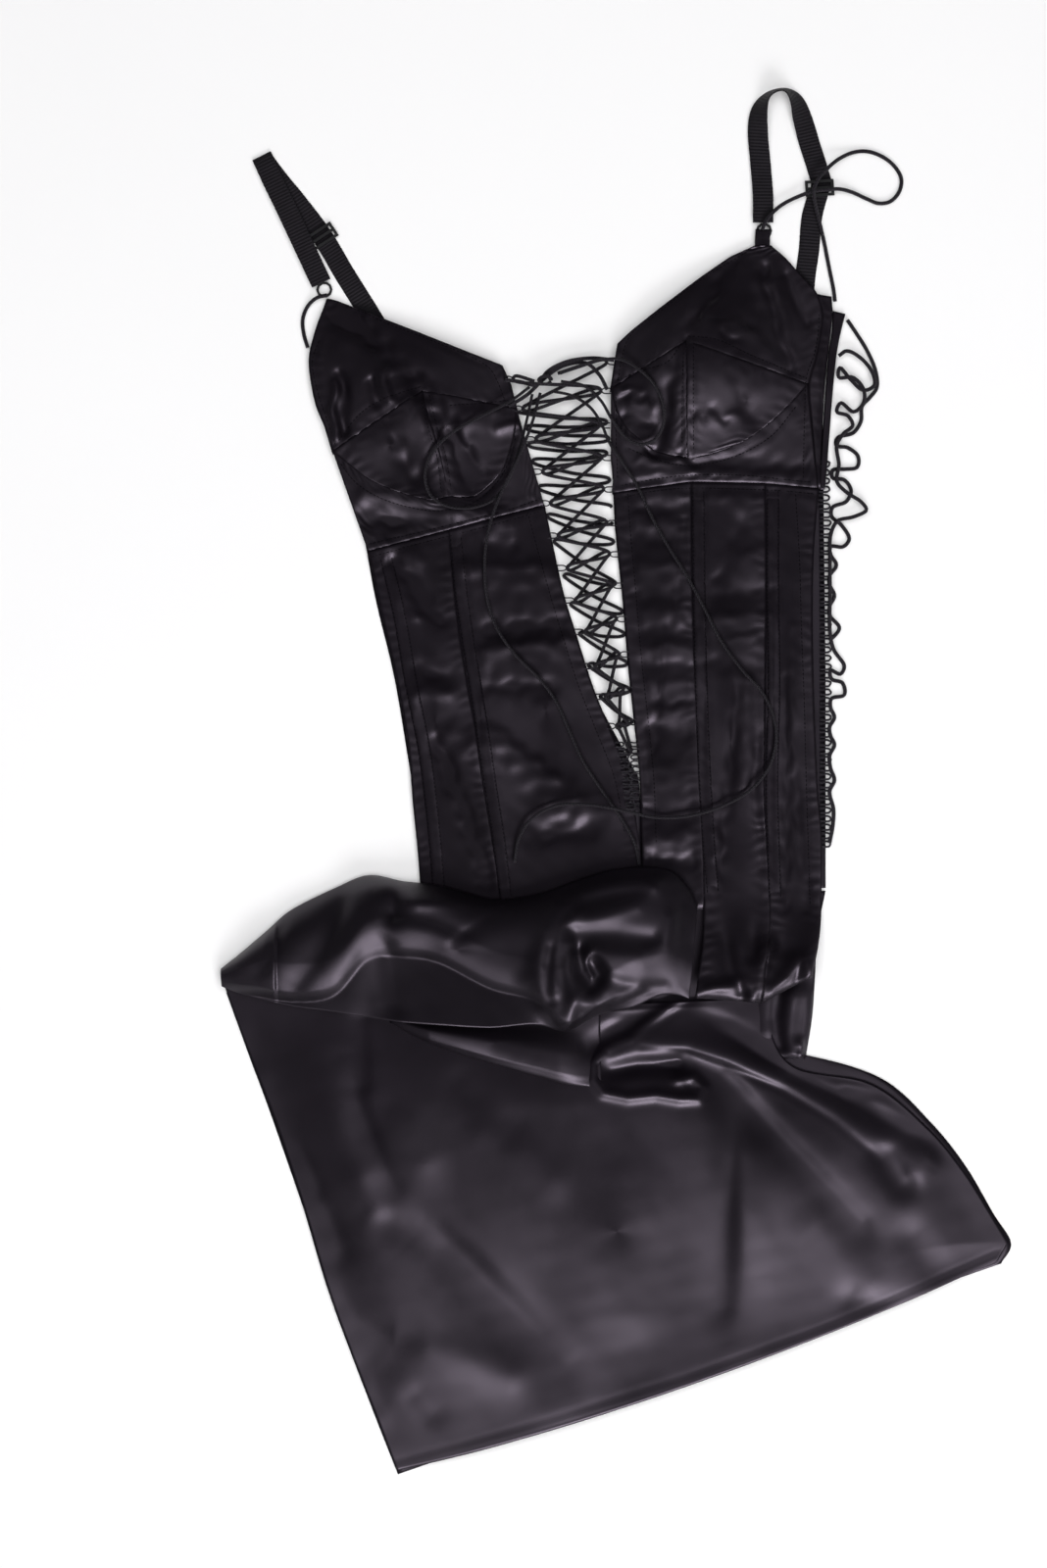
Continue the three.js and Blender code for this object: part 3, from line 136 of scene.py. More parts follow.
BACK_L = [
  (-214.9, 312.5, -88.9, 290.9), (-204.1, 256.3, -75.2, 256.3), (-189, 198.7, -54.4, 198.7),
  (-176.8, 133.9, -39.2, 133.9), (-163.1, 76.3, -22, 76.3), (-152.3, 13, 10.1, 13), (-150.1, -2.9, 16.8, -2.9),
  (-144.4, -60.5, 19.7, -60.5), (-141.5, -97.9, 20.2, -97.9)
]
BACK_R = [
  (8.3, 267.1, 150.8, 344.2), (1.8, 238.3, 151.6, 270.7), (1.8, 198.7, 152.3, 198.7), (6.8, 141.1, 153, 141.1),
  (12.6, 69.1, 153.7, 69.1), (16.3, 13, 153.7, 13), (17.3, -2.9, 153.7, -2.9), (20.2, -60.5, 153.7, -60.5),
  (20.7, -80.6, 153.7, -79.2)
]
SKIRT_NECK = [
  (23.4, -82.8, 153.7, -81.4), (19.1, -118.1, 148, -110.9), (15.5, -146.9, 145.8, -146.9),
  (19.1, -172.8, 143.6, -175.7), (51.5, -186.5, 141.5, -198.7)
]
SKIRT_BACK = [
  (-286.2, -156.2, 8.3, -179.3), (-277.6, -180, 76.7, -193.7), (-268.2, -205.9, 140.8, -202.3),
  (-257.4, -234.7, 195.5, -219.6), (-245.2, -269.3, 231.5, -252), (-227.2, -321.8, 256.7, -283.7),
  (-203.4, -396.7, 276.8, -318.2), (-178.9, -462.2, 289.8, -339.8), (-160.2, -509.8, 282.6, -355)
]
SKIRT_FRONT = [
  (-284.8, -157.7, -92.5, -172.8, 112.7, -164.2), (-276.1, -182.9, -78.1, -186.5, 113.4, -184.3),
  (-263.9, -215.3, -49.3, -208.1, 132.1, -211.7), (-248.8, -254.9, -20.5, -240.5, 188.3, -223.9),
  (-230, -312.5, 8.3, -283.7, 229.3, -256.3), (-212.8, -370.1, 29.9, -326.9, 255.2, -287.3),
  (-193.3, -424.1, 44.3, -370.1, 274, -316.8), (-176, -467.3, 53.6, -406.1, 287.6, -339.1),
  (-160.9, -506.9, 52.9, -443.5, 279.7, -352.8)
]
FLAP = [
  (-166, -177.8, -163.1, -168.5), (-146.5, -188.6, -146.5, -165.6), (-128.5, -195.8, -128.5, -164.2),
  (-103.3, -203.8, -103.3, -162.7), (-78.1, -211, -79.6, -161.3), (-56.5, -216.7, -58.7, -159.8),
  (-34.9, -222.5, -38.5, -159.8), (-16.9, -227.5, -20.5, -158.4), (1.1, -230.4, -4.7, -157),
  (24.1, -230.4, 16.9, -155.5), (51.5, -229, 44.3, -155.5)
]
FOLD_TOP = [
  (-289.1, -151.2, -289.8, -138.2, 4, 9, 4.5), (-276.1, -156.2, -276.1, -127.4, 5, 15, 4),
  (-258.1, -160.6, -256.7, -110.9, 6, 21, 3.5), (-236.5, -165.6, -238, -95, 7, 25, 3.5),
  (-207.7, -169.2, -206.3, -79.2, 11, 28, 3.5), (-182.5, -172.8, -181.8, -69.8, 15, 31, 3.5),
  (-157.3, -175.7, -155.9, -74.2, 18, 33, 5), (-128.5, -177.8, -130, -77, 20, 33, 8.5),
  (-92.5, -180, -88.9, -87.1, 19, 33, 8.5), (-60.1, -177.8, -58, -83.5, 20, 36, 8.5),
  (-37.1, -182.9, -31.3, -74.2, 20, 38, 9), (-13.3, -171.4, -6.1, -66.2, 19, 37, 9),
  (11.9, -165.6, 16.9, -63.4, 18, 34, 9), (31.3, -157, 38.5, -65.5, 17, 29, 9),
  (44.3, -157, 51.5, -77, 15, 23, 9), (52.9, -159.8, 59.4, -90.7, 13, 18, 9)
]
HOOKS = [
  (-80.3, 293.8, -2.5, 306), (-73.1, 272.2, -6.8, 285.1), (-63.7, 249.8, -7.6, 259.9),
  (-58.7, 226.1, -6.1, 236.2), (-52.9, 203, -4.7, 213.1), (-47.2, 179.3, -2.5, 188.6),
  (-40.7, 155.5, -0.4, 165.6), (-34.9, 131.8, 1.8, 142.6), (-27.7, 108.7, 4.7, 118.1),
  (-20.5, 83.5, 6.8, 92.2), (-12.6, 61.2, 9.7, 66.2), (-4.7, 39.6, 12.6, 42.5), (4, 20.2, 15.5, 20.9)
]
LOOP_L = [
  (-63.7, 287.3, 0), (-78.1, 276.5, 0), (-99.7, 265, 0), (-121.3, 252.7, 0), (-135, 238.3, 0),
  (-140, 222.5, 0), (-135.7, 208.1, 0), (-122.8, 200.2, 0), (-105.5, 199.4, 0), (-90.4, 205.2, 0),
  (-79.6, 218.9, 0), (-71.6, 240.5, 0), (-65.9, 262.1, 0), (-61.6, 282.2, 0)
]
TAIL_L = [
  (-55.8, 283, 0), (-62.3, 259.2, 3.4), (-72.4, 234, 3.4), (-83.9, 211, 3.4), (-91.8, 190.1, 1.5),
  (-96.1, 166.3, 0), (-95.4, 137.5, 0), (-88.9, 113.8, 0), (-74.5, 92.2, 0), (-55.1, 72.7, 0),
  (-43.6, 56.2, 0), (-34.9, 36.7, 0), (-24.8, 14.4, 0), (-11.9, -5.8, 0), (2.5, -26.6, 0), (12.6, -44.6, 0),
  (16.9, -61.9, 0)
]
LOOP_R = [
  (-41.4, 297.4, 0), (-26.3, 302.4, 0), (-11.9, 306.7, 0), (1.8, 307.4, 0), (15.5, 300.2, 0), (27.7, 288, 0),
  (34.2, 272.2, 0), (33.5, 257.8, 0), (27, 248.4, 0), (16.9, 245.5, 0), (6.8, 250.6, 0), (-3.2, 263.5, 0),
  (-11.9, 277.9, 0), (-23.4, 288, 0), (-40.7, 291.6, 0)
]
TAIL_R = [
  (-47.2, 284.4, 0), (-32, 280.8, 0), (-19.1, 272.2, 0), (-11.2, 260.6, 0), (-5.4, 247, 0), (4, 232.6, 0),
  (15.5, 214.6, 0), (25.6, 193, 0), (38.5, 169.9, 0), (52.9, 146.9, 0), (64.4, 125.3, 0), (76.7, 101.5, 0),
  (93.2, 79.2, 0), (106.2, 64.8, 0), (114.1, 49, 0), (117, 31.7, 0), (112, 10.1, 0), (98.3, -7.2, 0),
  (76.7, -19.4, 0), (51.5, -26.6, 0), (28.4, -27.4, 0), (11.2, -23.8, 3), (-6.1, -20.2, 5), (-22, -18, 3),
  (-43.6, -18.7, 0), (-61.6, -28.1, 0), (-71.6, -43.2, 0), (-74.5, -60.5, 0)
]
SIDE_TAIL = [
  (106.9, 403.2, 6.4), (109.1, 409, 6.8), (114.1, 415.4, 6.3), (120.6, 421.2, 5.4), (131.4, 427, 5.4),
  (143.6, 431.3, 6.2), (154.4, 432.7, 6.2), (163.8, 433.4, 5), (173.2, 431.3, 3), (183.2, 427, 1.9),
  (192.6, 423.4, 1.9), (201.2, 424.8, 1.9), (207.7, 432, 1.9), (209.2, 441.4, 1.9), (204.1, 450.7, 1.9),
  (194.8, 457.9, 1.9), (184, 461.5, 1.9), (174.6, 460.8, 2.4), (163.8, 455.8, 5.5), (154.4, 447.8, 8.6),
  (147.2, 439.2, 9.8), (144.4, 431.3, 9.8), (145.8, 421.9, 7), (148.7, 410.4, 4), (152.3, 396, 2.4),
  (156.6, 374.4, 2), (159.5, 360, 2), (160.6, 351.4, 2)
]
SIDE_END_L = [
  (-212, 355.7, 4.7), (-220, 353.5, 4.4), (-226.4, 347.8, 1.9), (-230, 338.4, 1.9), (-229.3, 327.6, 1.9),
  (-226.4, 317.5, 1.9)
]
SIDE_A = [
  (169.6, 337.7, 1.9), (176, 328.3, 1.9), (184, 315.4, 1.9), (190.4, 300.2, 1.9), (191.2, 288, 1.9),
  (186.1, 280.8, 1.9), (180.4, 274.3, 1.9), (179.6, 263.5, 1.9), (173.9, 254.9, 1.9), (162.4, 251.3, 1.9),
  (161.6, 245.5, 1.9), (169.6, 244.1, 1.9), (177.5, 237.6, 1.9), (176.8, 229.7, 1.9), (168.1, 228.2, 1.9),
  (158.8, 227.5, 1.9), (158.8, 221.8, 1.9), (167.4, 220.3, 1.9), (172.4, 212.4, 1.9), (168.8, 204.5, 1.9),
  (158.8, 200.2, 1.9), (158, 193.7, 1.9), (165.2, 187.2, 1.9), (171, 177.1, 1.9), (166.7, 171.4, 1.9),
  (157.3, 171.4, 1.9), (157.3, 165.6, 1.9), (161.6, 157.7, 1.9), (156.6, 149.8, 1.9), (156.6, 143.3, 1.9),
  (160.2, 135.4, 1.9), (156.6, 127.4, 1.9), (156.6, 121, 1.9), (163.8, 111.6, 1.9), (156.6, 102.2, 1.9)
]
SIDE_B = [
  (163.1, 311, 5.6), (168.8, 314.6, 5.4), (178.9, 309.6, 5.4), (187.6, 298.8, 5.4), (189, 289.4, 5.4),
  (181.1, 285.8, 5.4), (171, 294.5, 5.4), (163.8, 302.4, 5.4), (163.1, 295.2, 5.4), (173.2, 295.2, 5.4),
  (181.1, 286.6, 5.4), (181.1, 276.5, 5.4), (173.9, 270, 5.4), (164.5, 276.5, 5.4), (161.6, 270, 5.4),
  (169.6, 267.1, 5.4), (173.2, 259.9, 5.4), (166.7, 254.2, 5.4), (161.6, 245.5, 5.4), (163.1, 231.1, 5.4),
  (161.6, 218.9, 5.4), (168.8, 211, 5.4), (179.6, 203.8, 5.4), (183.2, 198, 5.4), (173.9, 193, 5.4),
  (162.4, 190.1, 5.4), (157.3, 180.7, 5.4), (156.6, 159.1, 5.4), (156.6, 133.9, 5.4), (156.6, 108.7, 5.4),
  (159.5, 95.8, 3.4), (167.4, 83.5, 1.9), (164.5, 77.8, 1.9), (157.3, 80.6, 1.9), (158, 74.2, 1.9),
  (166, 71.3, 1.9), (167.4, 62.6, 1.9), (158, 59.8, 1.9), (157.3, 53.3, 1.9), (160.2, 46.1, 1.9),
  (156.6, 38.9, 1.9), (157.3, 32.4, 1.9), (160.2, 25.9, 1.9), (156.6, 18, 1.9), (157.3, 8.6, 1.9),
  (160.2, 0, 1.9), (156.6, -8.6, 1.9), (159.5, -21.6, 1.9), (158.8, -34.6, 1.9), (156.6, -46.1, 1.9)
]
BACK_A = [
  (-75.2, 272.2, 0), (-6.8, 262.8, 0), (-65.9, 258.5, 0), (-5.4, 250.6, 0), (-64.4, 246.2, 0),
  (-6.8, 239.8, 0), (-61.6, 234, 0), (-4.7, 220.3, 0), (-57.2, 214.6, 0), (-3.2, 200.2, 0)
]
BACK_B = [
  (-2.5, 189.4, 0), (-50.8, 193.7, 0), (-1.8, 175, 0), (-45.7, 175, 0), (-0.4, 144.7, 0), (-38.5, 149.8, 0),
  (4.7, 123.8, 0), (-33.5, 128.9, 0), (6.1, 107.3, 0), (-27, 107.3, 0), (8.3, 85.7, 0), (-20.5, 84.2, 0),
  (10.4, 66.2, 0), (-11.9, 61.2, 0), (11.9, 43.2, 0), (0.4, 39.6, 0)
]

STRAP_L = [
    (-216.3, 364.5, 4.2, 26, 0), (-226.4, 386, 4.5, 26, 0), (-240, 415, 4.5, 26, 0), (-253, 442, 3.6, 26, 0),
    (-258.6, 454.5, 3.1, 26.5, 0), (-260.2, 458, 2.0, 27, 0), (-258.6, 454.9, 0.9, 29, 0), (-248, 440.6, 0.8, 32, 0),
    (-236, 426, 0.8, 33, 0), (-216, 399.6, 0.8, 33, 0), (-199, 371, 0.8, 32, 0), (-180.4, 341.3, 0.8, 32, 0),
    (-164.5, 314.6, 0.8, 32, 0),
]
STRAP_R = [
    (107.6, 409, 4.2, 180, 0), (107.6, 429, 3.2, 180, 0), (106, 451, 2.4, 178, 0), (104, 472, 3.6, 174, -10),
    (104.4, 489, 6.2, 166, -36), (110.6, 501.6, 8.4, 128, -68), (122.5, 505.6, 8.6, 80, -72),
    (131.5, 498.6, 6.6, 42, -42), (136.6, 485, 3.6, 20, -16), (142, 466.6, 2.2, 13, 0), (148, 447.8, 1.8, 12, 0),
    (150.4, 438, 1.2, 6, 0), (148.3, 430.6, 0.8, -2, 0), (143.6, 413, 0.8, -6, 0), (141.6, 389.5, 0.8, -4, 0),
    (138.6, 368, 0.8, -5, 0), (136.8, 344, 0.8, -5, 0),
]
CASINGS = {
    "casing_l1": [(-168.8, 163), (-158.8, 119.5), (-150.1, 69.1), (-141.5, 25.9), (-135.7, -17.3), (-131.4, -64.1), (-129.3, -90)],
    "casing_l2": [(-117.7, 177.8), (-114.1, 141.1), (-109.1, 105.1), (-103.3, 69.1), (-97.6, 33.1), (-92.5, -2.9), (-86.8, -38.9), (-81, -86)],
    "casing_r1": [(60.1, 212), (60.8, 141.1), (62.3, 69.1), (65.2, -2.9), (68.8, -60.5), (71, -83.5)],
    "casing_r2": [(114.8, 213), (114.8, 141.1), (115.6, 69.1), (114.1, -2.9), (115.6, -60.5), (116.5, -87)],
}
KNOT = (-52.2, 292.3, 11.4, 14, 9, 5)

# domes: centre x, y, rise, half length x, half length y
DOMES = [(-144, 278, 14, 58, 52), (62, 306, 17, 58, 56)]
# folds: rise (+) or trough (-), half width on the left of the route, on its right, route
BODICE_FOLDS = [
    # left cup
    (-4.4, 7, 9, P(343, 312, 372, 340, 400, 365, 425, 390, 440, 410, 455, 435, 475, 470, 490, 495)),
    (-2, 4, 4, P(350, 385, 351, 440)), (1.6, 3, 3, P(341, 395, 343, 448)), (-1.7, 4, 4, P(380, 392, 385, 412)),
    (-1.7, 5, 4, P(400, 390, 408, 406)), (1.0, 4, 4, P(391, 384, 396, 406)), (-2.2, 9, 7, P(395, 425, 407, 455, 425, 487)),
    (1.2, 5, 8, P(478, 428, 505, 424)), (1.4, 4, 6, P(512, 436, 526, 434)), (1.4, 7, 14, P(358, 345, 400, 362)),
    # right cup
    (-3.6, 5, 6, P(747, 268, 726, 300, 706, 330, 691, 360, 681, 400, 676, 440, 668, 462)), (1.5, 5, 7, P(730, 305, 712, 336)),
    (-2.6, 3.5, 3.5, P(778, 272, 785, 310, 795, 345, 806, 382)), (-2.2, 3.5, 3.5, P(800, 282, 812, 310, 822, 332)),
    (1.7, 4, 4, P(791, 288, 800, 335, 808, 368)), (-2.2, 9, 9, P(767, 278, 768, 325)),
    (1.9, 4, 8, P(733, 333, 752, 334, 768, 343, 780, 356, 788, 372)), (-2.2, 4, 4, P(736, 342, 748, 352)),
    (1.9, 3, 4, P(630, 398, 652, 402)), (-1.4, 3, 3, P(635, 407, 655, 409)), (2.1, 3, 4, P(645, 411, 667, 415)), (-2.4, 4, 6, P(638, 424, 662, 432)),
    (2.2, 3, 5, P(652, 467, 700, 475)), (-1.7, 3, 3, P(664, 461, 696, 466)), (1.5, 5, 3, P(640, 487, 700, 484, 760, 485, 805, 489)),
    (-2.2, 8, 6, P(700, 474, 830, 476)), (-1.8, 7, 6, P(745, 368, 752, 400, 765, 425, 776, 437)), (-1.6, 4, 4, P(708, 424, 716, 428)),
    (-1.5, 4, 4, P(726, 418, 738, 430)), (1.5, 4, 9, P(716, 427, 748, 425)), (1.4, 8, 14, P(752, 372, 795, 385)),
    # left band and side
    (-1.7, 8, 7, P(378, 530, 412, 532)), (1.2, 5, 9, P(372, 505, 398, 505)), (-1.9, 8, 5, P(402, 572, 418, 592, 435, 618, 448, 636)),
    (1.3, 6, 9, P(396, 558, 424, 570)), (1.0, 5, 7, P(405, 602, 425, 627)), (1.3, 6, 12, P(430, 704, 456, 706)), (-1.2, 7, 6, P(424, 684, 456, 690)),
    (-2.0, 6, 6, P(445, 760, 458, 790, 470, 820, 480, 850, 490, 880, 497, 900)), (1.2, 7, 14, P(460, 745, 478, 760)),
    # left of centre
    (1.8, 6, 15, P(478, 578, 522, 582, 556, 580)), (-1.5, 10, 6, P(498, 645, 570, 638)), (1.3, 5, 10, P(500, 662, 575, 655)),
    (2.0, 6, 18, P(505, 751, 545, 781, 585, 811)), (-1.3, 7, 7, P(500, 700, 560, 702)), (0.6, 7, 12, P(548, 822, 620, 826)), (-1.4, 8, 8, P(548, 850, 600, 846)),
    (1.2, 6, 9, P(425, 512, 520, 530)), (-1.3, 6, 6, P(500, 556, 520, 560)),
    # right of centre
    (-1.3, 3, 3, P(697, 530, 695, 570, 690, 610, 682, 640, 678, 670, 672, 710, 665, 760, 658, 800)), (1.3, 4, 8, P(658, 501, 690, 503)),
    (-1.5, 7, 5, P(658, 523, 700, 520)), (1.3, 4, 8, P(652, 528, 674, 530)), (-1.3, 6, 6, P(650, 550, 682, 550)), (1.6, 6, 9, P(655, 576, 692, 578)),
    (-1.5, 7, 5, P(650, 609, 692, 609)), (0.9, 4, 7, P(655, 624, 690, 626)), (-1.4, 7, 5, P(655, 646, 702, 646)), (1.3, 4, 7, P(655, 661, 703, 661)),
    (-1.3, 4, 6, P(655, 677, 703, 678)), (1.4, 5, 8, P(668, 698, 702, 697)), (-0.9, 4, 4, P(665, 717, 700, 718)), (1.5, 4, 8, P(668, 724, 700, 722)),
    (-1.7, 6, 8, P(665, 745, 698, 746)), (1.4, 8, 14, P(668, 788, 695, 786)), (-1.7, 8, 8, P(655, 832, 702, 832)),
    (2.1, 5, 8, P(662, 857, 698, 850)), (-2.4, 4, 7, P(668, 876, 706, 878)),
    # right of the first channel
    (1.4, 5, 8, P(724, 506, 750, 508)), (-1.5, 6, 5, P(755, 535, 745, 570, 730, 590)), (1.1, 5, 8, P(758, 512, 780, 512)), (1.6, 6, 12, P(748, 568, 778, 562)),
    (-1.7, 8, 8, P(728, 606, 782, 604)), (1.7, 5, 11, P(730, 629, 778, 628)), (1.0, 3, 8, P(746, 652, 768, 650)), (-1.2, 6, 7, P(722, 676, 770, 680)),
    (-1.8, 4, 4, P(752, 700, 747, 760, 743, 800, 739, 850, 735, 900)), (-1.7, 4, 4, P(775, 745, 772, 780, 768, 810, 776, 845, 779, 885)),
    (1.4, 6, 6, P(761, 696, 759, 750, 757, 800)), (1.1, 5, 5, P(728, 850, 730, 900)),
    (-1.3, 3, 3, P(801, 690, 801, 930)), (-1.4, 3.5, 3.5, P(810, 795, 816, 860, 823, 930)), (0.9, 3, 3, P(807, 640, 808, 900)),
]
SKIRT_FOLDS = [
    # long valley from the left edge down to the hem, and its side branches
    (-3.2, 7, 11, P(352, 1078, 368, 1130, 384, 1172, 402, 1212)),
    (-6.5, 13, 28, P(402, 1212, 436, 1252, 478, 1292, 512, 1326, 548, 1362, 576, 1392)),
    (-3, 9, 12, P(376, 1236, 410, 1252, 446, 1274)), (-2.6, 12, 16, P(360, 1351, 400, 1374, 445, 1362)),
    (2.2, 12, 14, P(388, 1392, 420, 1435, 448, 1478)), (-1.2, 11, 11, P(425, 1425, 440, 1440)),
    (-1.8, 6, 9, P(369, 1040, 371, 1105)),
    # upright fold in the middle
    (-4.2, 8, 14, P(748, 1110, 744, 1160, 741, 1225, 738, 1330)), (3.2, 22, 14, P(757, 1180, 759, 1240, 759, 1300, 750, 1372)),
    # folds that run down to the right from the waist
    (-8.5, 8, 18, P(640, 1090, 700, 1082, 732, 1097, 762, 1128, 792, 1158, 832, 1198, 876, 1246)),
    (5, 11, 10, P(648, 1058, 700, 1067, 752, 1079, 800, 1097, 850, 1127, 900, 1165, 925, 1194)),
    (-1.7, 2.8, 3.8, P(655, 1067, 700, 1074, 750, 1091, 800, 1112, 850, 1142, 898, 1182)),
    (-5, 6, 10, P(700, 1022, 742, 1046, 788, 1080, 830, 1106, 872, 1127, 950, 1158)),
    (3.5, 10, 7, P(832, 1086, 880, 1106, 935, 1136)), (-3, 5, 6, P(864, 1112, 893, 1113)),
    (-5, 10, 12, P(903, 1180, 920, 1206)), (3.4, 11, 14, P(950, 1162, 940, 1190, 924, 1216)),
    (1.8, 20, 20, P(645, 1205, 646, 1335)), (2.0, 26, 26, P(606, 1290, 570, 1432)),
    (1.8, 18, 18, P(345, 1140, 365, 1195)), (2.4, 16, 16, P(415, 1150, 432, 1180)), (1.2, 12, 12, P(372, 1200, 382, 1232)),
    (-2.2, 9, 9, P(300, 1180, 318, 1212)), (-2.2, 11, 11, P(330, 1245, 345, 1275)), (1.4, 17, 17, P(905, 1290, 916, 1320)),
    (-2, 12, 12, P(868, 1322, 930, 1342)), (-2.6, 13, 13, P(930, 1262, 958, 1300)), (2.2, 15, 15, P(440, 1372, 520, 1400)),
    (2, 17, 17, P(500, 1150, 560, 1200)), (-1.8, 13, 13, P(470, 1105, 520, 1150)), (2, 16, 16, P(830, 1250, 880, 1310)),
    (-13, 7, 7, P(600, 1068, 640, 1048, 676, 1026)), (-6, 8, 8, P(640, 1030, 700, 1016)),
]
# the waist cloth turned back on itself: a sharp loop of edge round a pocket
HOOK_EDGE = P(696, 1017, 672, 1035, 642, 1057, 616, 1069, 605, 1083, 605, 1099, 615, 1113, 640, 1118, 668, 1115, 692, 1119, 711, 1119, 716, 1108, 707, 1098, 690, 1100)
HOOK_FOLDS = [(3.6, 4, 4, HOOK_EDGE), (-6, 7, 7, P(624, 1092, 650, 1087, 690, 1086))]
FOLD_TOP_FOLDS = [
    # left wing: creases that run up from the crest
    (-2.2, 6, 11, P(288, 936, 283, 962, 268, 988)), (-2.6, 7, 12, P(350, 926, 336, 956, 320, 984, 304, 1004)),
    (-2.4, 7, 11, P(394, 962, 400, 1000, 406, 1030)), (0.9, 9, 7, P(384, 975, 388, 1018)),
    # bump at the upper edge, the hollow beside it and the folds that lead from it
    (3.6, 9, 7, P(428, 917, 470, 915)), (-5, 7, 7, P(402, 902, 402, 932)), (-2.6, 8, 5, P(404, 932, 440, 938, 470, 950)),
    (-1.6, 3, 8, P(466, 957, 492, 938, 522, 918)),
    # swirl
    (3.6, 9, 7, P(668, 896, 625, 899, 592, 908, 571, 924, 558, 950, 550, 980, 553, 1012, 562, 1034, 578, 1051)),
    (2.2, 5, 4, P(590, 930, 575, 943, 567, 972, 564, 1010)), (-1.3, 4, 4, P(561, 965, 558, 990, 561, 1018)),
    (2.6, 5, 5, P(582, 1042, 584, 1012, 578, 985, 582, 963)), (-8, 6, 6, P(590, 968, 594, 990, 603, 1003, 609, 994, 602, 980)),
    (2.6, 6, 10, P(600, 970, 622, 973, 652, 974, 676, 962, 684, 936)), (-3.4, 7, 8, P(590, 952, 630, 951, 662, 956)),
    (2.6, 9, 6, P(590, 938, 616, 932, 648, 922, 664, 905)), (-2.2, 7, 7, P(596, 918, 640, 909, 654, 908)),
    (2.4, 6, 6, P(588, 1018, 606, 1026, 630, 1024, 650, 1006)), (-3.2, 5, 7, P(608, 984, 616, 996, 642, 1003, 676, 1007)),
    (-3, 7, 9, P(592, 1036, 620, 1040, 650, 1034)), (2, 8, 8, P(540, 1000, 548, 1014, 562, 1044)),
    (-2.4, 10, 10, P(694, 925, 702, 960)),
]
NECK_FOLDS = [
    (4.5, 5, 6, P(707, 1015, 716, 1009, 750, 1003, 757, 1001)), (5, 8, 6, P(764, 1020, 772, 1000, 776, 980, 782, 969)),
    (4, 6, 5, P(783, 1010, 801, 996, 813, 978, 818, 978, 823, 996)), (-4, 4, 4, P(754, 1004, 760, 1024)), (-3, 5, 7, P(728, 915, 740, 960, 745, 996)),
    (3, 7, 9, P(705, 925, 700, 960, 703, 1000)), (3.4, 6, 8, P(832, 905, 830, 940, 826, 985)), (-2.5, 7, 7, P(795, 940, 797, 968)),
    (2.6, 8, 8, P(752, 940, 758, 985)), (-3, 5, 5, P(770, 930, 766, 975)),
]


# stitch lines
STITCH_ROUTES = [
    P(538, 522, 548, 560, 559, 600, 574, 650, 590, 700, 607, 743, 627, 795, 637, 850),
    P(640, 503, 643, 545, 648, 600, 653, 660, 657, 700, 662, 745, 667, 800, 669, 860),
    P(378, 569, 420, 557.5, 470, 544.5, 520, 531.5, 554, 521), P(376, 556, 420, 545.5, 470, 533.5, 520, 520.5, 550, 510),
    P(628, 510, 660, 503, 700, 499, 760, 500, 800, 501.5, 832, 505), P(628, 497, 660, 491, 700, 486, 760, 486, 800, 490, 830, 493),
    P(352, 313, 372, 320, 390, 329, 442, 350, 498, 376, 508, 392, 515, 410), P(326, 348, 319, 370, 326, 406, 335, 432, 343, 456),
    P(345, 452, 366, 426, 386, 412, 410, 403, 431, 396), P(458, 416, 485, 414, 524, 409),
    P(438, 404, 447, 441, 455, 467, 461, 505), P(429, 404, 438, 441, 446, 467, 451, 508),
    P(628, 405, 628, 440, 630, 492), P(762, 258, 738, 272, 708, 292, 670, 322, 642, 345, 634, 366, 630, 392),
    P(700, 346, 730, 350, 762, 364, 792, 376, 822, 387), P(628, 390, 652, 381, 680, 372, 698, 347),
    P(706, 356, 706, 400, 707, 462), P(696, 362, 695, 400, 695, 462),
    P(835, 316, 834, 340, 830, 362, 822, 386, 820, 430, 819, 490),
    P(811, 504, 815, 570, 817, 640, 820, 720, 822, 800, 824, 860, 826, 925),
    P(345, 470, 362, 492, 382, 506, 412, 517, 450, 522, 482, 514, 505, 495, 521, 468, 527, 440),
    P(640, 458, 668, 470, 702, 476, 748, 467, 786, 446, 812, 415),
]


def casing_edges(out=-0.7):
    rows = []
    for line in CASINGS.values():
        p = np.array(line, float)
        t = np.gradient(p, axis=0)
        t /= np.linalg.norm(t, axis=1, keepdims=True)
        for s in (-1, 1):
            w = s * (CASING_WIDTH / 2 + out)
            rows.append(list(np.stack([p[:, 0] - t[:, 1] * w, p[:, 1] + t[:, 0] * w], 1).ravel()))
    return rows


# ---------------------------------------------------------------- heights
def near(x, y, route, along=False):
    """distance from each point to a route, which side of it the point is on, and how far along it"""
    best = np.full(np.shape(x), 1e9)
    side, share = np.zeros(np.shape(x)), np.zeros(np.shape(x))
    last = len(route) // 2 - 1
    for i in range(0, len(route) - 2, 2):
        ax, ay, bx, by = route[i : i + 4]
        lx, ly = bx - ax, by - ay
        t = np.clip(((x - ax) * lx + (y - ay) * ly) / max(1e-9, lx * lx + ly * ly), 0, 1)
        dx, dy = x - ax - lx * t, y - ay - ly * t
        d = np.hypot(dx, dy)
        s = (lx * dy - ly * dx) / np.maximum(1e-9, d * math.hypot(lx, ly))
        side = np.where(d < best, s, side)
        share = np.where(d < best, (i // 2 + t) / last, share)
        best = np.minimum(d, best)
    return (best, side, share) if along else (best, side)


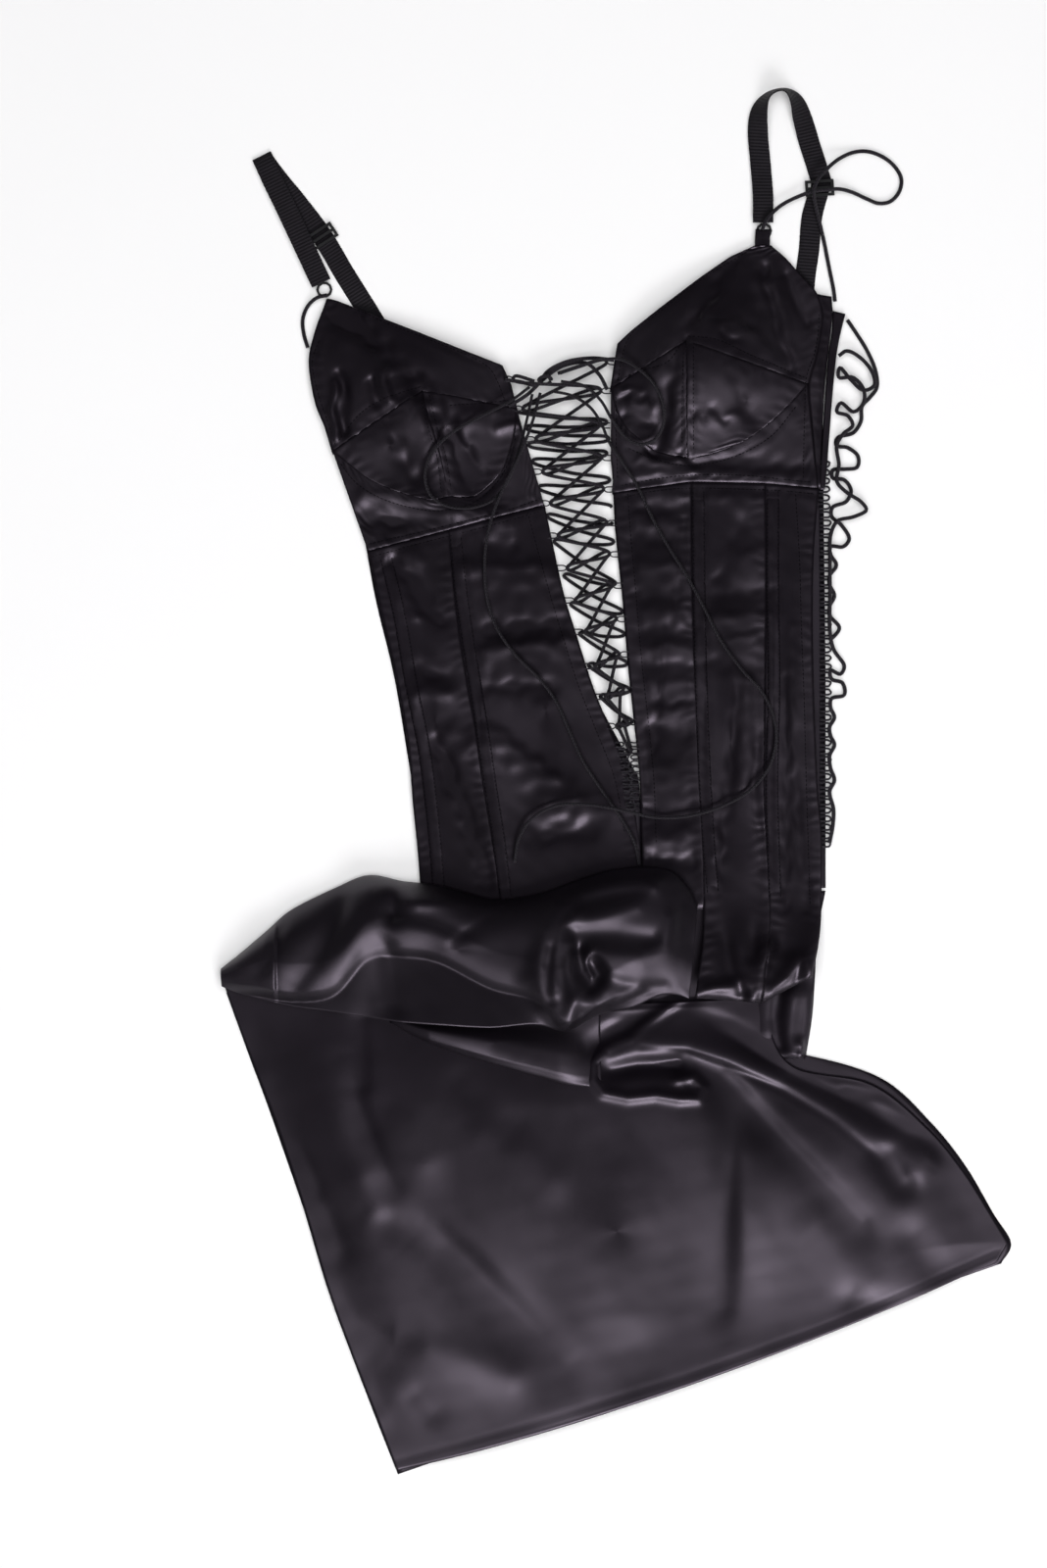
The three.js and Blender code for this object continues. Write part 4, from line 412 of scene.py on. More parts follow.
def folds(x, y, table, wander=0.0, seed=90, fade=0.0):
    """the table's ridges and troughs, their routes and depth a little uneven"""
    z = np.zeros(np.shape(x))
    x, y = x + wander * ripple(x, y, seed, 21), y + wander * ripple(x, y, seed + 1, 21)
    for rise, wl, wr, route in table:
        d, s, t = near(x, y, route, True)
        k = d / (wr + (wl - wr) * ramp((s + 1) / 2))
        if fade and len(route) > 4:    # long folds die away towards their far end
            rise = rise * (0.3 + 0.7 * ramp(t / 0.35)) * (1 - fade * ramp((t - 0.35) / 0.65))
        z = z + rise * np.exp(-k * k)
    return z


def ramp(t):
    t = np.clip(t, 0, 1)
    return t * t * (3 - 2 * t)


def ripple(x, y, seed, size):
    """slow, seeded unevenness, about -1 to 1"""
    r = random.Random(seed)
    z = 0
    for _ in range(7):
        a, k, p = r.uniform(0, math.tau), r.uniform(0.6, 1.7) / size, r.uniform(0, math.tau)
        z = z + np.sin((x * math.cos(a) + y * math.sin(a)) * k * math.tau + p) * r.uniform(0.4, 1)
    return z / 3.2


def bodice_top(x, y):
    dome = np.zeros(np.shape(x))
    for cx, cy, rise, rx, ry in DOMES:
        dome = dome + rise * np.exp(-(((x - cx) / rx) ** 2) - ((y - cy) / ry) ** 2)
    soft = 1.35 - 0.60 * ramp((x + 10) / 25) - 0.12 * ramp((y - 190) / 30) * ramp(x / 20)
    return BASE + CLOTH + dome + np.maximum(-1.7 - 0.4 * dome, soft * folds(x, y, BODICE_FOLDS, 2.0) * (1 + 0.35 * ripple(x, y, 93, 19)))


def creases(x, y, seed):
    """soft unevenness of worn satin: long, mostly upright dents, and shorter ones between"""
    return 0.4 * ripple(x * 1.2, y * 0.7, seed, 44) + 0.16 * ripple(x + 0.35 * y, y * 0.9 - 0.2 * x, seed + 1, 22)


def grooves(x, y, routes, deep=0.15, wide=1.5):
    z = np.zeros(np.shape(x))
    for r in routes:
        d, _ = near(x, y, r)
        z = z - deep * np.exp(-((d / wide) ** 2)) + 0.10 * np.exp(-(((d - 4.2) / 2.2) ** 2))
    return z


def neck_top(x, y):
    return bodice_top(x, y) + 7 * ramp((-85 - y) / 60) + folds(x, y, NECK_FOLDS) * ramp((-95 - y) / 30)


SKIRT_SIDE_L = [-285, -156, -276, -183, -264, -215, -249, -255, -230, -312, -213, -370, -193, -424, -176, -467, -161, -507]
SKIRT_SIDE_R = [113, -164, 113, -184, 132, -212, 188, -224, 229, -256, 255, -287, 274, -317, 288, -339, 280, -353]
SKIRT_TOP = [-285, -157, -92, -173, 113, -164]
SKIRT_HEM = [-161, -507, -50, -475, 53, -443, 160, -404, 280, -353]


def skirt_top(x, y):
    side = np.minimum(near(x, y, SKIRT_SIDE_L)[0], near(x, y, SKIRT_SIDE_R)[0])
    top, hem = near(x, y, SKIRT_TOP)[0], near(x, y, SKIRT_HEM)[0]
    body = 12 * (1 - np.exp(-((side / 42) ** 2))) * (0.3 + 0.7 * ramp(top / 70)) * (0.5 + 0.5 * ramp(hem / 130))
    edge = ramp(side / 14) * ramp((hem + 12) / 30) * ramp((top + 8) / 22)
    f, floor = folds(x, y, SKIRT_FOLDS, fade=0.72) * edge, 0.8 * body + 0.05
    f = np.where(f < 0, -floor * np.tanh(-f / floor), f)
    return 1.9 + CLOTH + body + f + 0.4 * ripple(x, y, 9, 75) * edge


# ---------------------------------------------------------------- meshes
def catmull(t, n_rows):
    """row numbers and weights of a smooth curve through the rows at t"""
    i = np.clip(np.floor(t).astype(int), 0, n_rows - 2)
    f = t - i
    w = [-0.5 * f**3 + f**2 - 0.5 * f, 1.5 * f**3 - 2.5 * f**2 + 1, -1.5 * f**3 + 2 * f**2 + 0.5 * f, 0.5 * f**3 - 0.5 * f**2]
    return [(np.clip(i + k - 1, 0, n_rows - 1), w[k]) for k in range(4)]


def smooth_rows(table, t):
    a = np.array(table, float)
    n = len(a)
    if n > 2:                     # end rows run straight on
        a = np.vstack([2 * a[0] - a[1], a, 2 * a[-1] - a[-2]])
        return sum(a[i] * w[:, None] for i, w in catmull(t + 1, n + 2))
    return a[0] + (a[1] - a[0]) * t[:, None]


def plan(table, cell, corner=False, grow=0.5, straight=()):
    """grid of plan points, about cell apart, on a table of sections"""
    a = np.array(table, float)
    wide = np.hypot(a[:, -2] - a[:, 0], a[:, -1] - a[:, 1]).max()
    long = max(np.hypot(np.diff(a[:, 0]), np.diff(a[:, 1])).sum(), np.hypot(np.diff(a[:, -2]), np.diff(a[:, -1])).sum())
    n, m = max(4, int(long / cell)), max(4, int(wide / cell) // 2 * 2)
    t = np.linspace(0, len(a) - 1, n + 1)
    s = smooth_rows(table, t)
    for k in straight:             # edges that turn a corner at a row; from a row on, where one is given
        k, row = k if isinstance(k, tuple) else (k, 0)
        s[:, k] = np.where(t >= row, np.interp(t, np.arange(len(a)), a[:, k]), s[:, k])
    u = np.linspace(0, 1, m + 1)[None, :]
    lx, ly, rx, ry = (s[:, k][:, None] for k in (0, 1, -2, -1))
    if a.shape[1] == 4:
        x, y = lx + (rx - lx) * u, ly + (ry - ly) * u
    else:
        mx, my = s[:, 2][:, None], s[:, 3][:, None]
        if corner:
            lo = u < 0.5
            x = np.where(lo, lx + (mx - lx) * u * 2, mx + (rx - mx) * (u * 2 - 1))
            y = np.where(lo, ly + (my - ly) * u * 2, my + (ry - my) * (u * 2 - 1))
        else:
            p, q, r = (1 - u) * (1 - 2 * u), 4 * u * (1 - u), u * (2 * u - 1)
            x, y = p * lx + q * mx + r * rx, p * ly + q * my + r * ry
    if grow:                       # runs a little past the seam line
        gx, gy = x.copy(), y.copy()
        for sl, nb in (((slice(None), 0), (slice(None), 1)), ((slice(None), -1), (slice(None), -2)), ((0, slice(None)), (1, slice(None))), ((-1, slice(None)), (-2, slice(None)))):
            dx, dy = x[sl] - x[nb], y[sl] - y[nb]
            l = np.maximum(1e-6, np.hypot(dx, dy))
            gx[sl] = gx[sl] + dx / l * grow
            gy[sl] = gy[sl] + dy / l * grow
        x, y = gx, gy
    return x, y


def edge_distance(x, y):
    """distance of each grid point from the rim of its own grid, along the grid lines"""
    du = np.hypot(np.diff(x, axis=1), np.diff(y, axis=1))
    dv = np.hypot(np.diff(x, axis=0), np.diff(y, axis=0))
    cu = np.concatenate([np.zeros((x.shape[0], 1)), np.cumsum(du, 1)], 1)
    cv = np.concatenate([np.zeros((1, x.shape[1])), np.cumsum(dv, 0)], 0)
    return np.minimum(np.minimum(cu, cu[:, -1:] - cu), np.minimum(cv, cv[-1:, :] - cv))


def mesh_object(name, verts, faces, uv=None, smooth=True):
    name = name.replace(" ", "-")
    me = bpy.data.meshes.new(name)
    me.from_pydata([tuple(v) for v in verts], [], [tuple(f) for f in faces])
    if uv is not None:
        layer = me.uv_layers.new(name="UVMap")
        loops = np.empty(len(me.loops), np.int32)
        me.loops.foreach_get("vertex_index", loops)
        layer.data.foreach_set("uv", np.asarray(uv, np.float32)[loops].ravel())
    me.validate()
    if smooth:
        me.polygons.foreach_set("use_smooth", [True] * len(me.polygons))
    ob = bpy.data.objects.new(name, me)
    bpy.context.scene.collection.objects.link(ob)
    return ob


def metres(xyz):
    a = np.array(xyz, float)
    a = a + np.array([SHIFT[0], SHIFT[1], 0.0])
    return a / 1000.0


def grid_faces(n, m, off=0, flip=False):
    i, j = np.meshgrid(np.arange(n - 1), np.arange(m - 1), indexing="ij")
    a = (off + i * m + j).ravel()
    f = np.stack([a, a + 1, a + m + 1, a + m], 1)
    return f[:, ::-1] if flip else f


def shell(name, x, y, z, thick=1.0, under=None):
    """closed thin shell: the top surface, an underside, and a rim"""
    n, m = x.shape
    turn = ((x[1:, 1:] - x[:-1, :-1]) * (y[1:, :-1] - y[:-1, 1:]) - (y[1:, 1:] - y[:-1, :-1]) * (x[1:, :-1] - x[:-1, 1:])).sum()
    up = bool(turn > 0)
    gy, gx = np.gradient(z, axis=0), np.gradient(z, axis=1)
    step_u = np.maximum(0.05, np.hypot(np.gradient(x, axis=1), np.gradient(y, axis=1)))
    step_v = np.maximum(0.05, np.hypot(np.gradient(x, axis=0), np.gradient(y, axis=0)))
    steep = np.minimum(3, np.sqrt(1 + (gx / step_u) ** 2 + (gy / step_v) ** 2))
    zb = z - thick * steep
    if under is not None:
        zb = np.maximum(zb, under)
    top = np.stack([x, y, z], -1).reshape(-1, 3)
    bottom = np.stack([x, y, zb], -1).reshape(-1, 3)
    k = n * m
    faces = [grid_faces(n, m, 0, flip=not up), grid_faces(n, m, k, flip=up)]
    ring = [(0, j) for j in range(m)] + [(i, m - 1) for i in range(1, n)] + [(n - 1, j) for j in range(m - 2, -1, -1)] + [(i, 0) for i in range(n - 2, 0, -1)]
    idx = np.array([i * m + j for i, j in ring])
    nxt = np.roll(idx, -1)
    rim = np.stack([nxt, idx, idx + k, nxt + k], 1)
    if not up:
        rim = rim[:, ::-1]
    v = metres(np.vstack([top, bottom]))
    u = np.stack([np.tile(np.linspace(0, 1, m), n), np.repeat(np.linspace(0, 1, n), m)], 1)
    ob = mesh_object(name, v, np.vstack(faces + [rim]), uv=np.vstack([u, u]))
    return ob


def path_through(points, step):
    """evenly spaced points on a smooth curve through the given ones"""
    p = np.array(points, float)
    q = np.vstack([2 * p[0] - p[1], p, 2 * p[-1] - p[-2]])
    out = []
    for i in range(1, len(q) - 2):
        p0, p1, p2, p3 = q[i - 1 : i + 3]
        t0 = 0.0
        t1 = t0 + max(1e-6, np.linalg.norm(p1 - p0)) ** 0.5
        t2 = t1 + max(1e-6, np.linalg.norm(p2 - p1)) ** 0.5
        t3 = t2 + max(1e-6, np.linalg.norm(p3 - p2)) ** 0.5
        for t in np.linspace(t1, t2, 24, endpoint=False):
            a1 = (t1 - t) / (t1 - t0) * p0 + (t - t0) / (t1 - t0) * p1
            a2 = (t2 - t) / (t2 - t1) * p1 + (t - t1) / (t2 - t1) * p2
            a3 = (t3 - t) / (t3 - t2) * p2 + (t - t2) / (t3 - t2) * p3
            b1 = (t2 - t) / (t2 - t0) * a1 + (t - t0) / (t2 - t0) * a2
            b2 = (t3 - t) / (t3 - t1) * a2 + (t - t1) / (t3 - t1) * a3
            out.append((t2 - t) / (t2 - t1) * b1 + (t - t1) / (t2 - t1) * b2)
    out.append(p[-1])
    out = np.array(out)
    s = np.concatenate([[0], np.cumsum(np.linalg.norm(np.diff(out, axis=0), axis=1))])
    n = max(2, int(round(s[-1] / step)))
    w = np.linspace(0, s[-1], n + 1)
    return np.stack([np.interp(w, s, out[:, k]) for k in range(out.shape[1])], 1)


def tube_parts(points, radius, sides=12, squash=1.0):
    """vertices, faces and uv of a round cord along points"""
    p = np.asarray(points, float)
    t = np.gradient(p, axis=0)
    t = t / np.maximum(1e-9, np.linalg.norm(t, axis=1, keepdims=True))
    side = np.array([0.0, 0.0, 1.0])
    if abs(t[0] @ side) > 0.9:
        side = np.array([1.0, 0, 0])
    v, uv, s = [], [], 0.0
    for i in range(len(p)):
        side = side - t[i] * (side @ t[i])
        side = side / max(1e-9, np.linalg.norm(side))
        other = np.cross(t[i], side)
        if i:
            s += np.linalg.norm(p[i] - p[i - 1])
        r = radius[i] if hasattr(radius, "__len__") else radius
        for k in range(sides):
            a = math.tau * k / sides
            v.append(p[i] + side * math.cos(a) * r + other * math.sin(a) * r * squash)
            uv.append((s / 1000.0, k / sides))
    f = []
    for i in range(len(p) - 1):
        for k in range(sides):
            a, b = i * sides + k, i * sides + (k + 1) % sides
            f.append((a, b, b + sides, a + sides))
    v.append(p[0]); uv.append((0, 0))
    v.append(p[-1]); uv.append((s / 1000.0, 0))
    c0, c1, e = len(v) - 2, len(v) - 1, (len(p) - 1) * sides
    for k in range(sides):
        f.append((c0, (k + 1) % sides, k, k))
        f.append((c1, e + k, e + (k + 1) % sides, e + (k + 1) % sides))
    f = [tuple(dict.fromkeys(q)) for q in f]
    return v, f, uv


def tube(name, points, radius, sides=12):
    v, f, uv = tube_parts(points, radius, sides)
    return mesh_object(name, metres(v), f, uv)


def joined(name, parts):
    """one mesh from many (vertices, faces, uv)"""
    v, f, uv, off = [], [], [], 0
    for pv, pf, pu in parts:
        v.extend(pv)
        f.extend(tuple(i + off for i in q) for q in pf)
        uv.extend(pu)
        off += len(pv)
    return mesh_object(name, metres(v), f, uv)


# ---------------------------------------------------------------- materials
def node(nt, kind, **inputs):
    n = nt.nodes.new(kind)
    for k, v in inputs.items():
        if k in n.inputs:
            n.inputs[k].default_value = v
        else:
            setattr(n, k, v)
    return n


def base_material(name, colour, rough):
    m = bpy.data.materials.new(name)
    m.use_nodes = True
    nt = m.node_tree
    b = nt.nodes["Principled BSDF"]
    b.inputs["Base Color"].default_value = (*colour, 1)
    b.inputs["Roughness"].default_value = rough
    return m, nt, b


def satin(name, colour=(0.0031, 0.0025, 0.0034), rough=0.43, sheen=0.0, tone=1.0, spec=0.40):
    m, nt, b = base_material(name, colour, rough)
    L = nt.links.new
    b.inputs["Specular IOR Level"].default_value = spec
    b.inputs["Specular Tint"].default_value = (1.0, 0.86, 1.06, 1)
    b.inputs["Sheen Weight"].default_value = sheen
    b.inputs["Sheen Roughness"].default_value = 0.45
    b.inputs["Sheen Tint"].default_value = (0.75, 0.68, 0.82, 1)
    b.inputs["Anisotropic"].default_value = 0.35
    tc = node(nt, "ShaderNodeTexCoord")
    # colour: slow change of depth, and a faint worn bloom
    n1 = node(nt, "ShaderNodeTexNoise")
    n1.inputs["Scale"].default_value = 14
    n1.inputs["Detail"].default_value = 4
    cr = node(nt, "ShaderNodeValToRGB")
    cr.color_ramp.elements[0].position = 0.3
    cr.color_ramp.elements[0].color = (colour[0] * 0.75, colour[1] * 0.72, colour[2] * 0.78, 1)
    cr.color_ramp.elements[1].position = 0.75
    cr.color_ramp.elements[1].color = (colour[0] * 1.5 * tone, colour[1] * 1.4 * tone, colour[2] * 1.55 * tone, 1)
    L(tc.outputs["Object"], n1.inputs["Vector"])
    L(n1.outputs["Fac"], cr.inputs["Fac"])
    L(cr.outputs["Color"], b.inputs["Base Color"])
    # roughness: cloth that has been handled
    n2 = node(nt, "ShaderNodeTexNoise")
    n2.inputs["Scale"].default_value = 55
    n2.inputs["Detail"].default_value = 5
    mr = node(nt, "ShaderNodeMapRange")
    mr.inputs["From Min"].default_value = 0.3
    mr.inputs["From Max"].default_value = 0.7
    mr.inputs["To Min"].default_value = rough - 0.02
    mr.inputs["To Max"].default_value = rough + 0.03
    L(tc.outputs["Object"], n2.inputs["Vector"])
    L(n2.outputs["Fac"], mr.inputs["Value"])
    L(mr.outputs["Result"], b.inputs["Roughness"])
    # weave: fine floats across the cloth, and a slow pucker
    mp = node(nt, "ShaderNodeMapping")
    mp.inputs["Rotation"].default_value = (0, 0, math.radians(28))
    mp.inputs["Scale"].default_value = (1, 0.35, 1)
    w = node(nt, "ShaderNodeTexWave")
    w.wave_type = "BANDS"
    w.bands_direction = "X"
    w.inputs["Scale"].default_value = 520
    w.inputs["Distortion"].default_value = 1.2
    w.inputs["Detail"].default_value = 2
    L(tc.outputs["Object"], mp.inputs["Vector"])
    L(mp.outputs["Vector"], w.inputs["Vector"])
    n3 = node(nt, "ShaderNodeTexNoise")
    n3.inputs["Scale"].default_value = 90
    n3.inputs["Detail"].default_value = 3
    L(tc.outputs["Object"], n3.inputs["Vector"])
    b1 = node(nt, "ShaderNodeBump")
    b1.inputs["Strength"].default_value = 0.10
    b1.inputs["Distance"].default_value = 0.0002
    b2 = node(nt, "ShaderNodeBump")
    b2.inputs["Strength"].default_value = 0.06
    b2.inputs["Distance"].default_value = 0.0008
    L(w.outputs["Fac"], b1.inputs["Height"])
    L(n3.outputs["Fac"], b2.inputs["Height"])
    L(b2.outputs["Normal"], b1.inputs["Normal"])
    L(b1.outputs["Normal"], b.inputs["Normal"])
    return m


def ribbed(name, colour=(0.0055, 0.005, 0.006), rough=0.7, rib=420.0):
    """elastic band: ribs across its length, by its own UV (v runs along, in metres)"""
    m, nt, b = base_material(name, colour, rough)
    L = nt.links.new
    b.inputs["Sheen Weight"].default_value = 0.06
    b.inputs["Sheen Roughness"].default_value = 0.5
    b.inputs["Specular IOR Level"].default_value = 0.16
    b.inputs["Specular Tint"].default_value = (1.0, 0.88, 1.06, 1)
    tc = node(nt, "ShaderNodeTexCoord")
    sep = node(nt, "ShaderNodeSeparateXYZ")
    L(tc.outputs["UV"], sep.inputs["Vector"])
    mul = node(nt, "ShaderNodeMath", operation="MULTIPLY")
    mul.inputs[1].default_value = rib * math.tau
    sn = node(nt, "ShaderNodeMath", operation="SINE")
    L(sep.outputs["Y"], mul.inputs[0])
    L(mul.outputs[0], sn.inputs[0])
    mul2 = node(nt, "ShaderNodeMath", operation="MULTIPLY")
    mul2.inputs[1].default_value = 15 * math.tau
    sn2 = node(nt, "ShaderNodeMath", operation="SINE")
    L(sep.outputs["X"], mul2.inputs[0])
    L(mul2.outputs[0], sn2.inputs[0])
    mx = node(nt, "ShaderNodeMath", operation="MULTIPLY_ADD")
    mx.inputs[1].default_value = 0.35
    L(sn2.outputs[0], mx.inputs[0])
    L(sn.outputs[0], mx.inputs[2])
    bp = node(nt, "ShaderNodeBump")
    bp.inputs["Strength"].default_value = 0.6
    bp.inputs["Distance"].default_value = 0.0003
    L(mx.outputs[0], bp.inputs["Height"])
    L(bp.outputs["Normal"], b.inputs["Normal"])
    n1 = node(nt, "ShaderNodeTexNoise")
    n1.inputs["Scale"].default_value = 130
    L(tc.outputs["Object"], n1.inputs["Vector"])
    cr = node(nt, "ShaderNodeValToRGB")
    cr.color_ramp.elements[0].color = (*[c * 0.7 for c in colour], 1)
    cr.color_ramp.elements[1].color = (*[c * 1.7 for c in colour], 1)
    L(n1.outputs["Fac"], cr.inputs["Fac"])
    L(cr.outputs["Color"], b.inputs["Base Color"])
    return m


def braided(name, colour=(0.006, 0.0055, 0.007), rough=0.66, pitch=1.0 / 0.0024, sheen=0.05, spec=0.26):
    """cord: a braid that winds round it, by its own UV (u along, in metres, v around)"""
    m, nt, b = base_material(name, colour, rough)
    L = nt.links.new
    b.inputs["Sheen Weight"].default_value = sheen
    b.inputs["Sheen Roughness"].default_value = 0.4
    b.inputs["Specular IOR Level"].default_value = spec
    b.inputs["Specular Tint"].default_value = (1.0, 0.88, 1.06, 1)
    tc = node(nt, "ShaderNodeTexCoord")
    sep = node(nt, "ShaderNodeSeparateXYZ")
    L(tc.outputs["UV"], sep.inputs["Vector"])
    waves = []
    for s in (1.0, -1.0):
        a = node(nt, "ShaderNodeMath", operation="MULTIPLY")
        a.inputs[1].default_value = pitch * math.tau
        c = node(nt, "ShaderNodeMath", operation="MULTIPLY_ADD")
        c.inputs[1].default_value = s * 3 * math.tau
        d = node(nt, "ShaderNodeMath", operation="SINE")
        L(sep.outputs["X"], a.inputs[0])
        L(sep.outputs["Y"], c.inputs[0])
        L(a.outputs[0], c.inputs[2])
        L(c.outputs[0], d.inputs[0])
        waves.append(d)
    mx = node(nt, "ShaderNodeMath", operation="MAXIMUM")
    L(waves[0].outputs[0], mx.inputs[0])
    L(waves[1].outputs[0], mx.inputs[1])
    bp = node(nt, "ShaderNodeBump")
    bp.inputs["Strength"].default_value = 0.7
    bp.inputs["Distance"].default_value = 0.0003
    L(mx.outputs[0], bp.inputs["Height"])
    L(bp.outputs["Normal"], b.inputs["Normal"])
    # painted shade and painted highlight: the colour follows the braid's relief, darker in the grooves between strands
    # and lighter on their tops (for cord, thread and loops alike)
    cr = node(nt, "ShaderNodeValToRGB")
    cr.color_ramp.elements[0].color = (*[c * 0.6 for c in colour], 1)
    cr.color_ramp.elements[1].color = (*[c * 1.8 for c in colour], 1)
    L(mx.outputs[0], cr.inputs["Fac"])
    L(cr.outputs["Color"], b.inputs["Base Color"])
    return m


def hard(name, colour=(0.012, 0.012, 0.013), rough=0.28):
    m, nt, b = base_material(name, colour, rough)
    L = nt.links.new
    tc = node(nt, "ShaderNodeTexCoord")
    n1 = node(nt, "ShaderNodeTexNoise")
    n1.inputs["Scale"].default_value = 260
    n1.inputs["Detail"].default_value = 4
    mr = node(nt, "ShaderNodeMapRange")
    mr.inputs["To Min"].default_value = rough - 0.08
    mr.inputs["To Max"].default_value = rough + 0.16
    L(tc.outputs["Object"], n1.inputs["Vector"])
    L(n1.outputs["Fac"], mr.inputs["Value"])
    L(mr.outputs["Result"], b.inputs["Roughness"])
    bp = node(nt, "ShaderNodeBump")
    bp.inputs["Strength"].default_value = 0.08
    bp.inputs["Distance"].default_value = 0.0002
    L(n1.outputs["Fac"], bp.inputs["Height"])
    L(bp.outputs["Normal"], b.inputs["Normal"])
    return m


SATIN = satin("satin")
SATIN_SKIRT = satin("satin skirt", colour=(0.0042, 0.0034, 0.0046), rough=0.46, spec=0.48)
SATIN_FOLD = satin("satin fold", colour=(0.0036, 0.003, 0.004), rough=0.49, spec=0.42)
SATIN_UNDER = satin("satin underside", colour=(0.003, 0.0026, 0.0035), rough=0.5)
ELASTIC = ribbed("elastic")
BRAID = braided("braided cord")
THREAD = braided("thread", colour=(0.003, 0.0027, 0.0036), rough=0.75, pitch=900, sheen=0.0, spec=0.06)
LOOP_THREAD = braided("loop thread", colour=(0.008, 0.007, 0.010), rough=0.5, pitch=900, sheen=0.1)
HARDWARE = hard("black hardware")


def dress_piece(ob, mat, nodes):
    ob.data.materials.clear()
    ob.data.materials.append(mat)
    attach(ob, "root")
    if nodes:
        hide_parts(*nodes)
    return ob


def cloth(ob, mat, nodes):
    dress_piece(ob, mat, nodes)
    return ob


# ---------------------------------------------------------------- camera
HEIGHT = 2.6
cam = bpy.data.cameras.new("camera")
cam.sensor_width = 36
cam.lens = 36 * HEIGHT / (1600 * PX / 1000)
cam_ob = bpy.data.objects.new("camera", cam)
bpy.context.scene.collection.objects.link(cam_ob)
cam_ob.location = ((534 - MID_X) * PX / 1000 + SHIFT[0] / 1000, (MID_Y - 800) * PX / 1000 + SHIFT[1] / 1000, HEIGHT)
cam_ob.rotation_euler = (0, 0, 0)
bpy.context.scene.camera = cam_ob


def edge_x(edge, y):
    for (ax, ay), (bx, by) in zip(edge, edge[1:]):
        if by <= y <= ay:
            return ax + (bx - ax) * (y - ay) / (by - ay)
    return edge[0][0] if y > edge[0][1] else edge[-1][0]


HOOK_L = [(a, b) for a, b, c, d in HOOKS]
HOOK_R = [(c, d) for a, b, c, d in HOOKS]
OVER_LACING = FRONT_LACE_Z + LACE_STEP + LACE + 0.6


def resting(route, step=2.0):
    raw = path_through(route, step)
    z = neck_top(raw[:, 0], raw[:, 1]) + 2.2 + LACE / 2
    for i, (x, y, _) in enumerate(raw):
        if 12 < y < 300 and edge_x(HOOK_L, y) - 5 < x < edge_x(HOOK_R, y) + 5:
            z[i] = max(z[i], OVER_LACING)
    k = 7
    pad = np.pad(z, k, mode="edge")
    top = np.array([pad[i : i + 2 * k + 1].max() for i in range(len(z))])
    pad = np.pad(top, k, mode="edge")
    soft = np.array([pad[i : i + 2 * k + 1].mean() for i in range(len(z))])
    return np.stack([raw[:, 0], raw[:, 1], np.maximum(soft, z) + raw[:, 2]], 1)


def free_cord(name, pts, diameter, node_name):
    ob = tube(name, pts, diameter / 2)
    dress_piece(ob, BRAID, [node_name])
    return ob


free_cord("bow loop left", resting(LOOP_L), LACE, "lace_loop_l")
free_cord("bow loop right", resting(LOOP_R), LACE, "lace_loop_r")
free_cord("lace tail left", resting(TAIL_L), LACE, "lace_tail_l")
free_cord("lace tail right", resting(TAIL_R), LACE, "lace_tail_r")


free_cord("side lacing lower cord", path_through(SIDE_A, 1.4), SIDE_LACE, "side_lace_a")
free_cord("side lacing upper cord", path_through(SIDE_B, 1.4), SIDE_LACE, "side_lace_b")
free_cord("side lacing tail", path_through(SIDE_TAIL, 1.6), SIDE_LACE, "side_lace_tail")
free_cord("side lacing end left", path_through(SIDE_END_L, 1.6), SIDE_LACE, "side_lace_end_l")

# ---------------------------------------------------------------- lacing held by its hooks
def lacing(nodes, right, z, off, start):
    """crosses down to the next hook on the other side, then runs straight across, and so on"""
    pts = [(start[0], start[1], z)]

    def turn(is_right, k):
        lx, ly, rx, ry = nodes[k]
        s, x, y = (-1, rx - off, ry) if is_right else (1, lx + off, ly)
        pts.extend([(x + s * 1.7, y + 1.9, z), (x, y, z), (x + s * 1.7, y - 1.9, z)])

    turn(right, 0)
    for k in range(1, len(nodes)):
        turn(not right, k)
        if k < len(nodes) - 1:
            turn(right, k)
    return pts


def slack_lacing(route, z):
    pts = []
    for k, (x, y, _) in enumerate(route):
        after = route[k + 1] if k + 1 < len(route) else None
        s = np.sign((after or route[k - 1])[0] - x)
        if k:
            pts.append((x + s * 1.5, y + 1.5, z))
        pts.append((x, y, z))
        if after:
            pts += [(x + s * 1.5, y - 1.5, z), ((x + after[0]) / 2, (y + after[1]) / 2 - 1.6, z)]
    return pts


for name, pts in (
    ("lace_front_a", lacing(HOOKS, True, FRONT_LACE_Z, 4.6, (-43, 298))),
    ("lace_front_b", lacing(HOOKS, False, FRONT_LACE_Z + LACE_STEP, 4.6, (-60, 292))),
    ("lace_back_a", slack_lacing(BACK_A, BACK_LACE_Z)), ("lace_back_b", slack_lacing(BACK_B, BACK_LACE_Z)),
):
    runs = [tube_parts(path_through(pts, 1.0), LACE / 2 + 0.2, 10)]
    if name == "lace_front_a":     # slack bights of the same strand about the knot
        for bight in (((515, 389), (530, 391), (548, 394), (558, 381), (577, 371), (603, 367), (626, 369)),
                      ((519, 416), (538, 404), (555, 388), (574, 375), (597, 372), (611, 384), (619, 399))):
            flat = [P(*q) for q in bight]
            runs.append(tube_parts(path_through([(q[0], q[1], FRONT_LACE_Z + 2.4) for q in flat], 1.0), LACE / 2 + 0.3, 10))
    dress_piece(joined(name.replace("_", " "), runs), BRAID, [name])

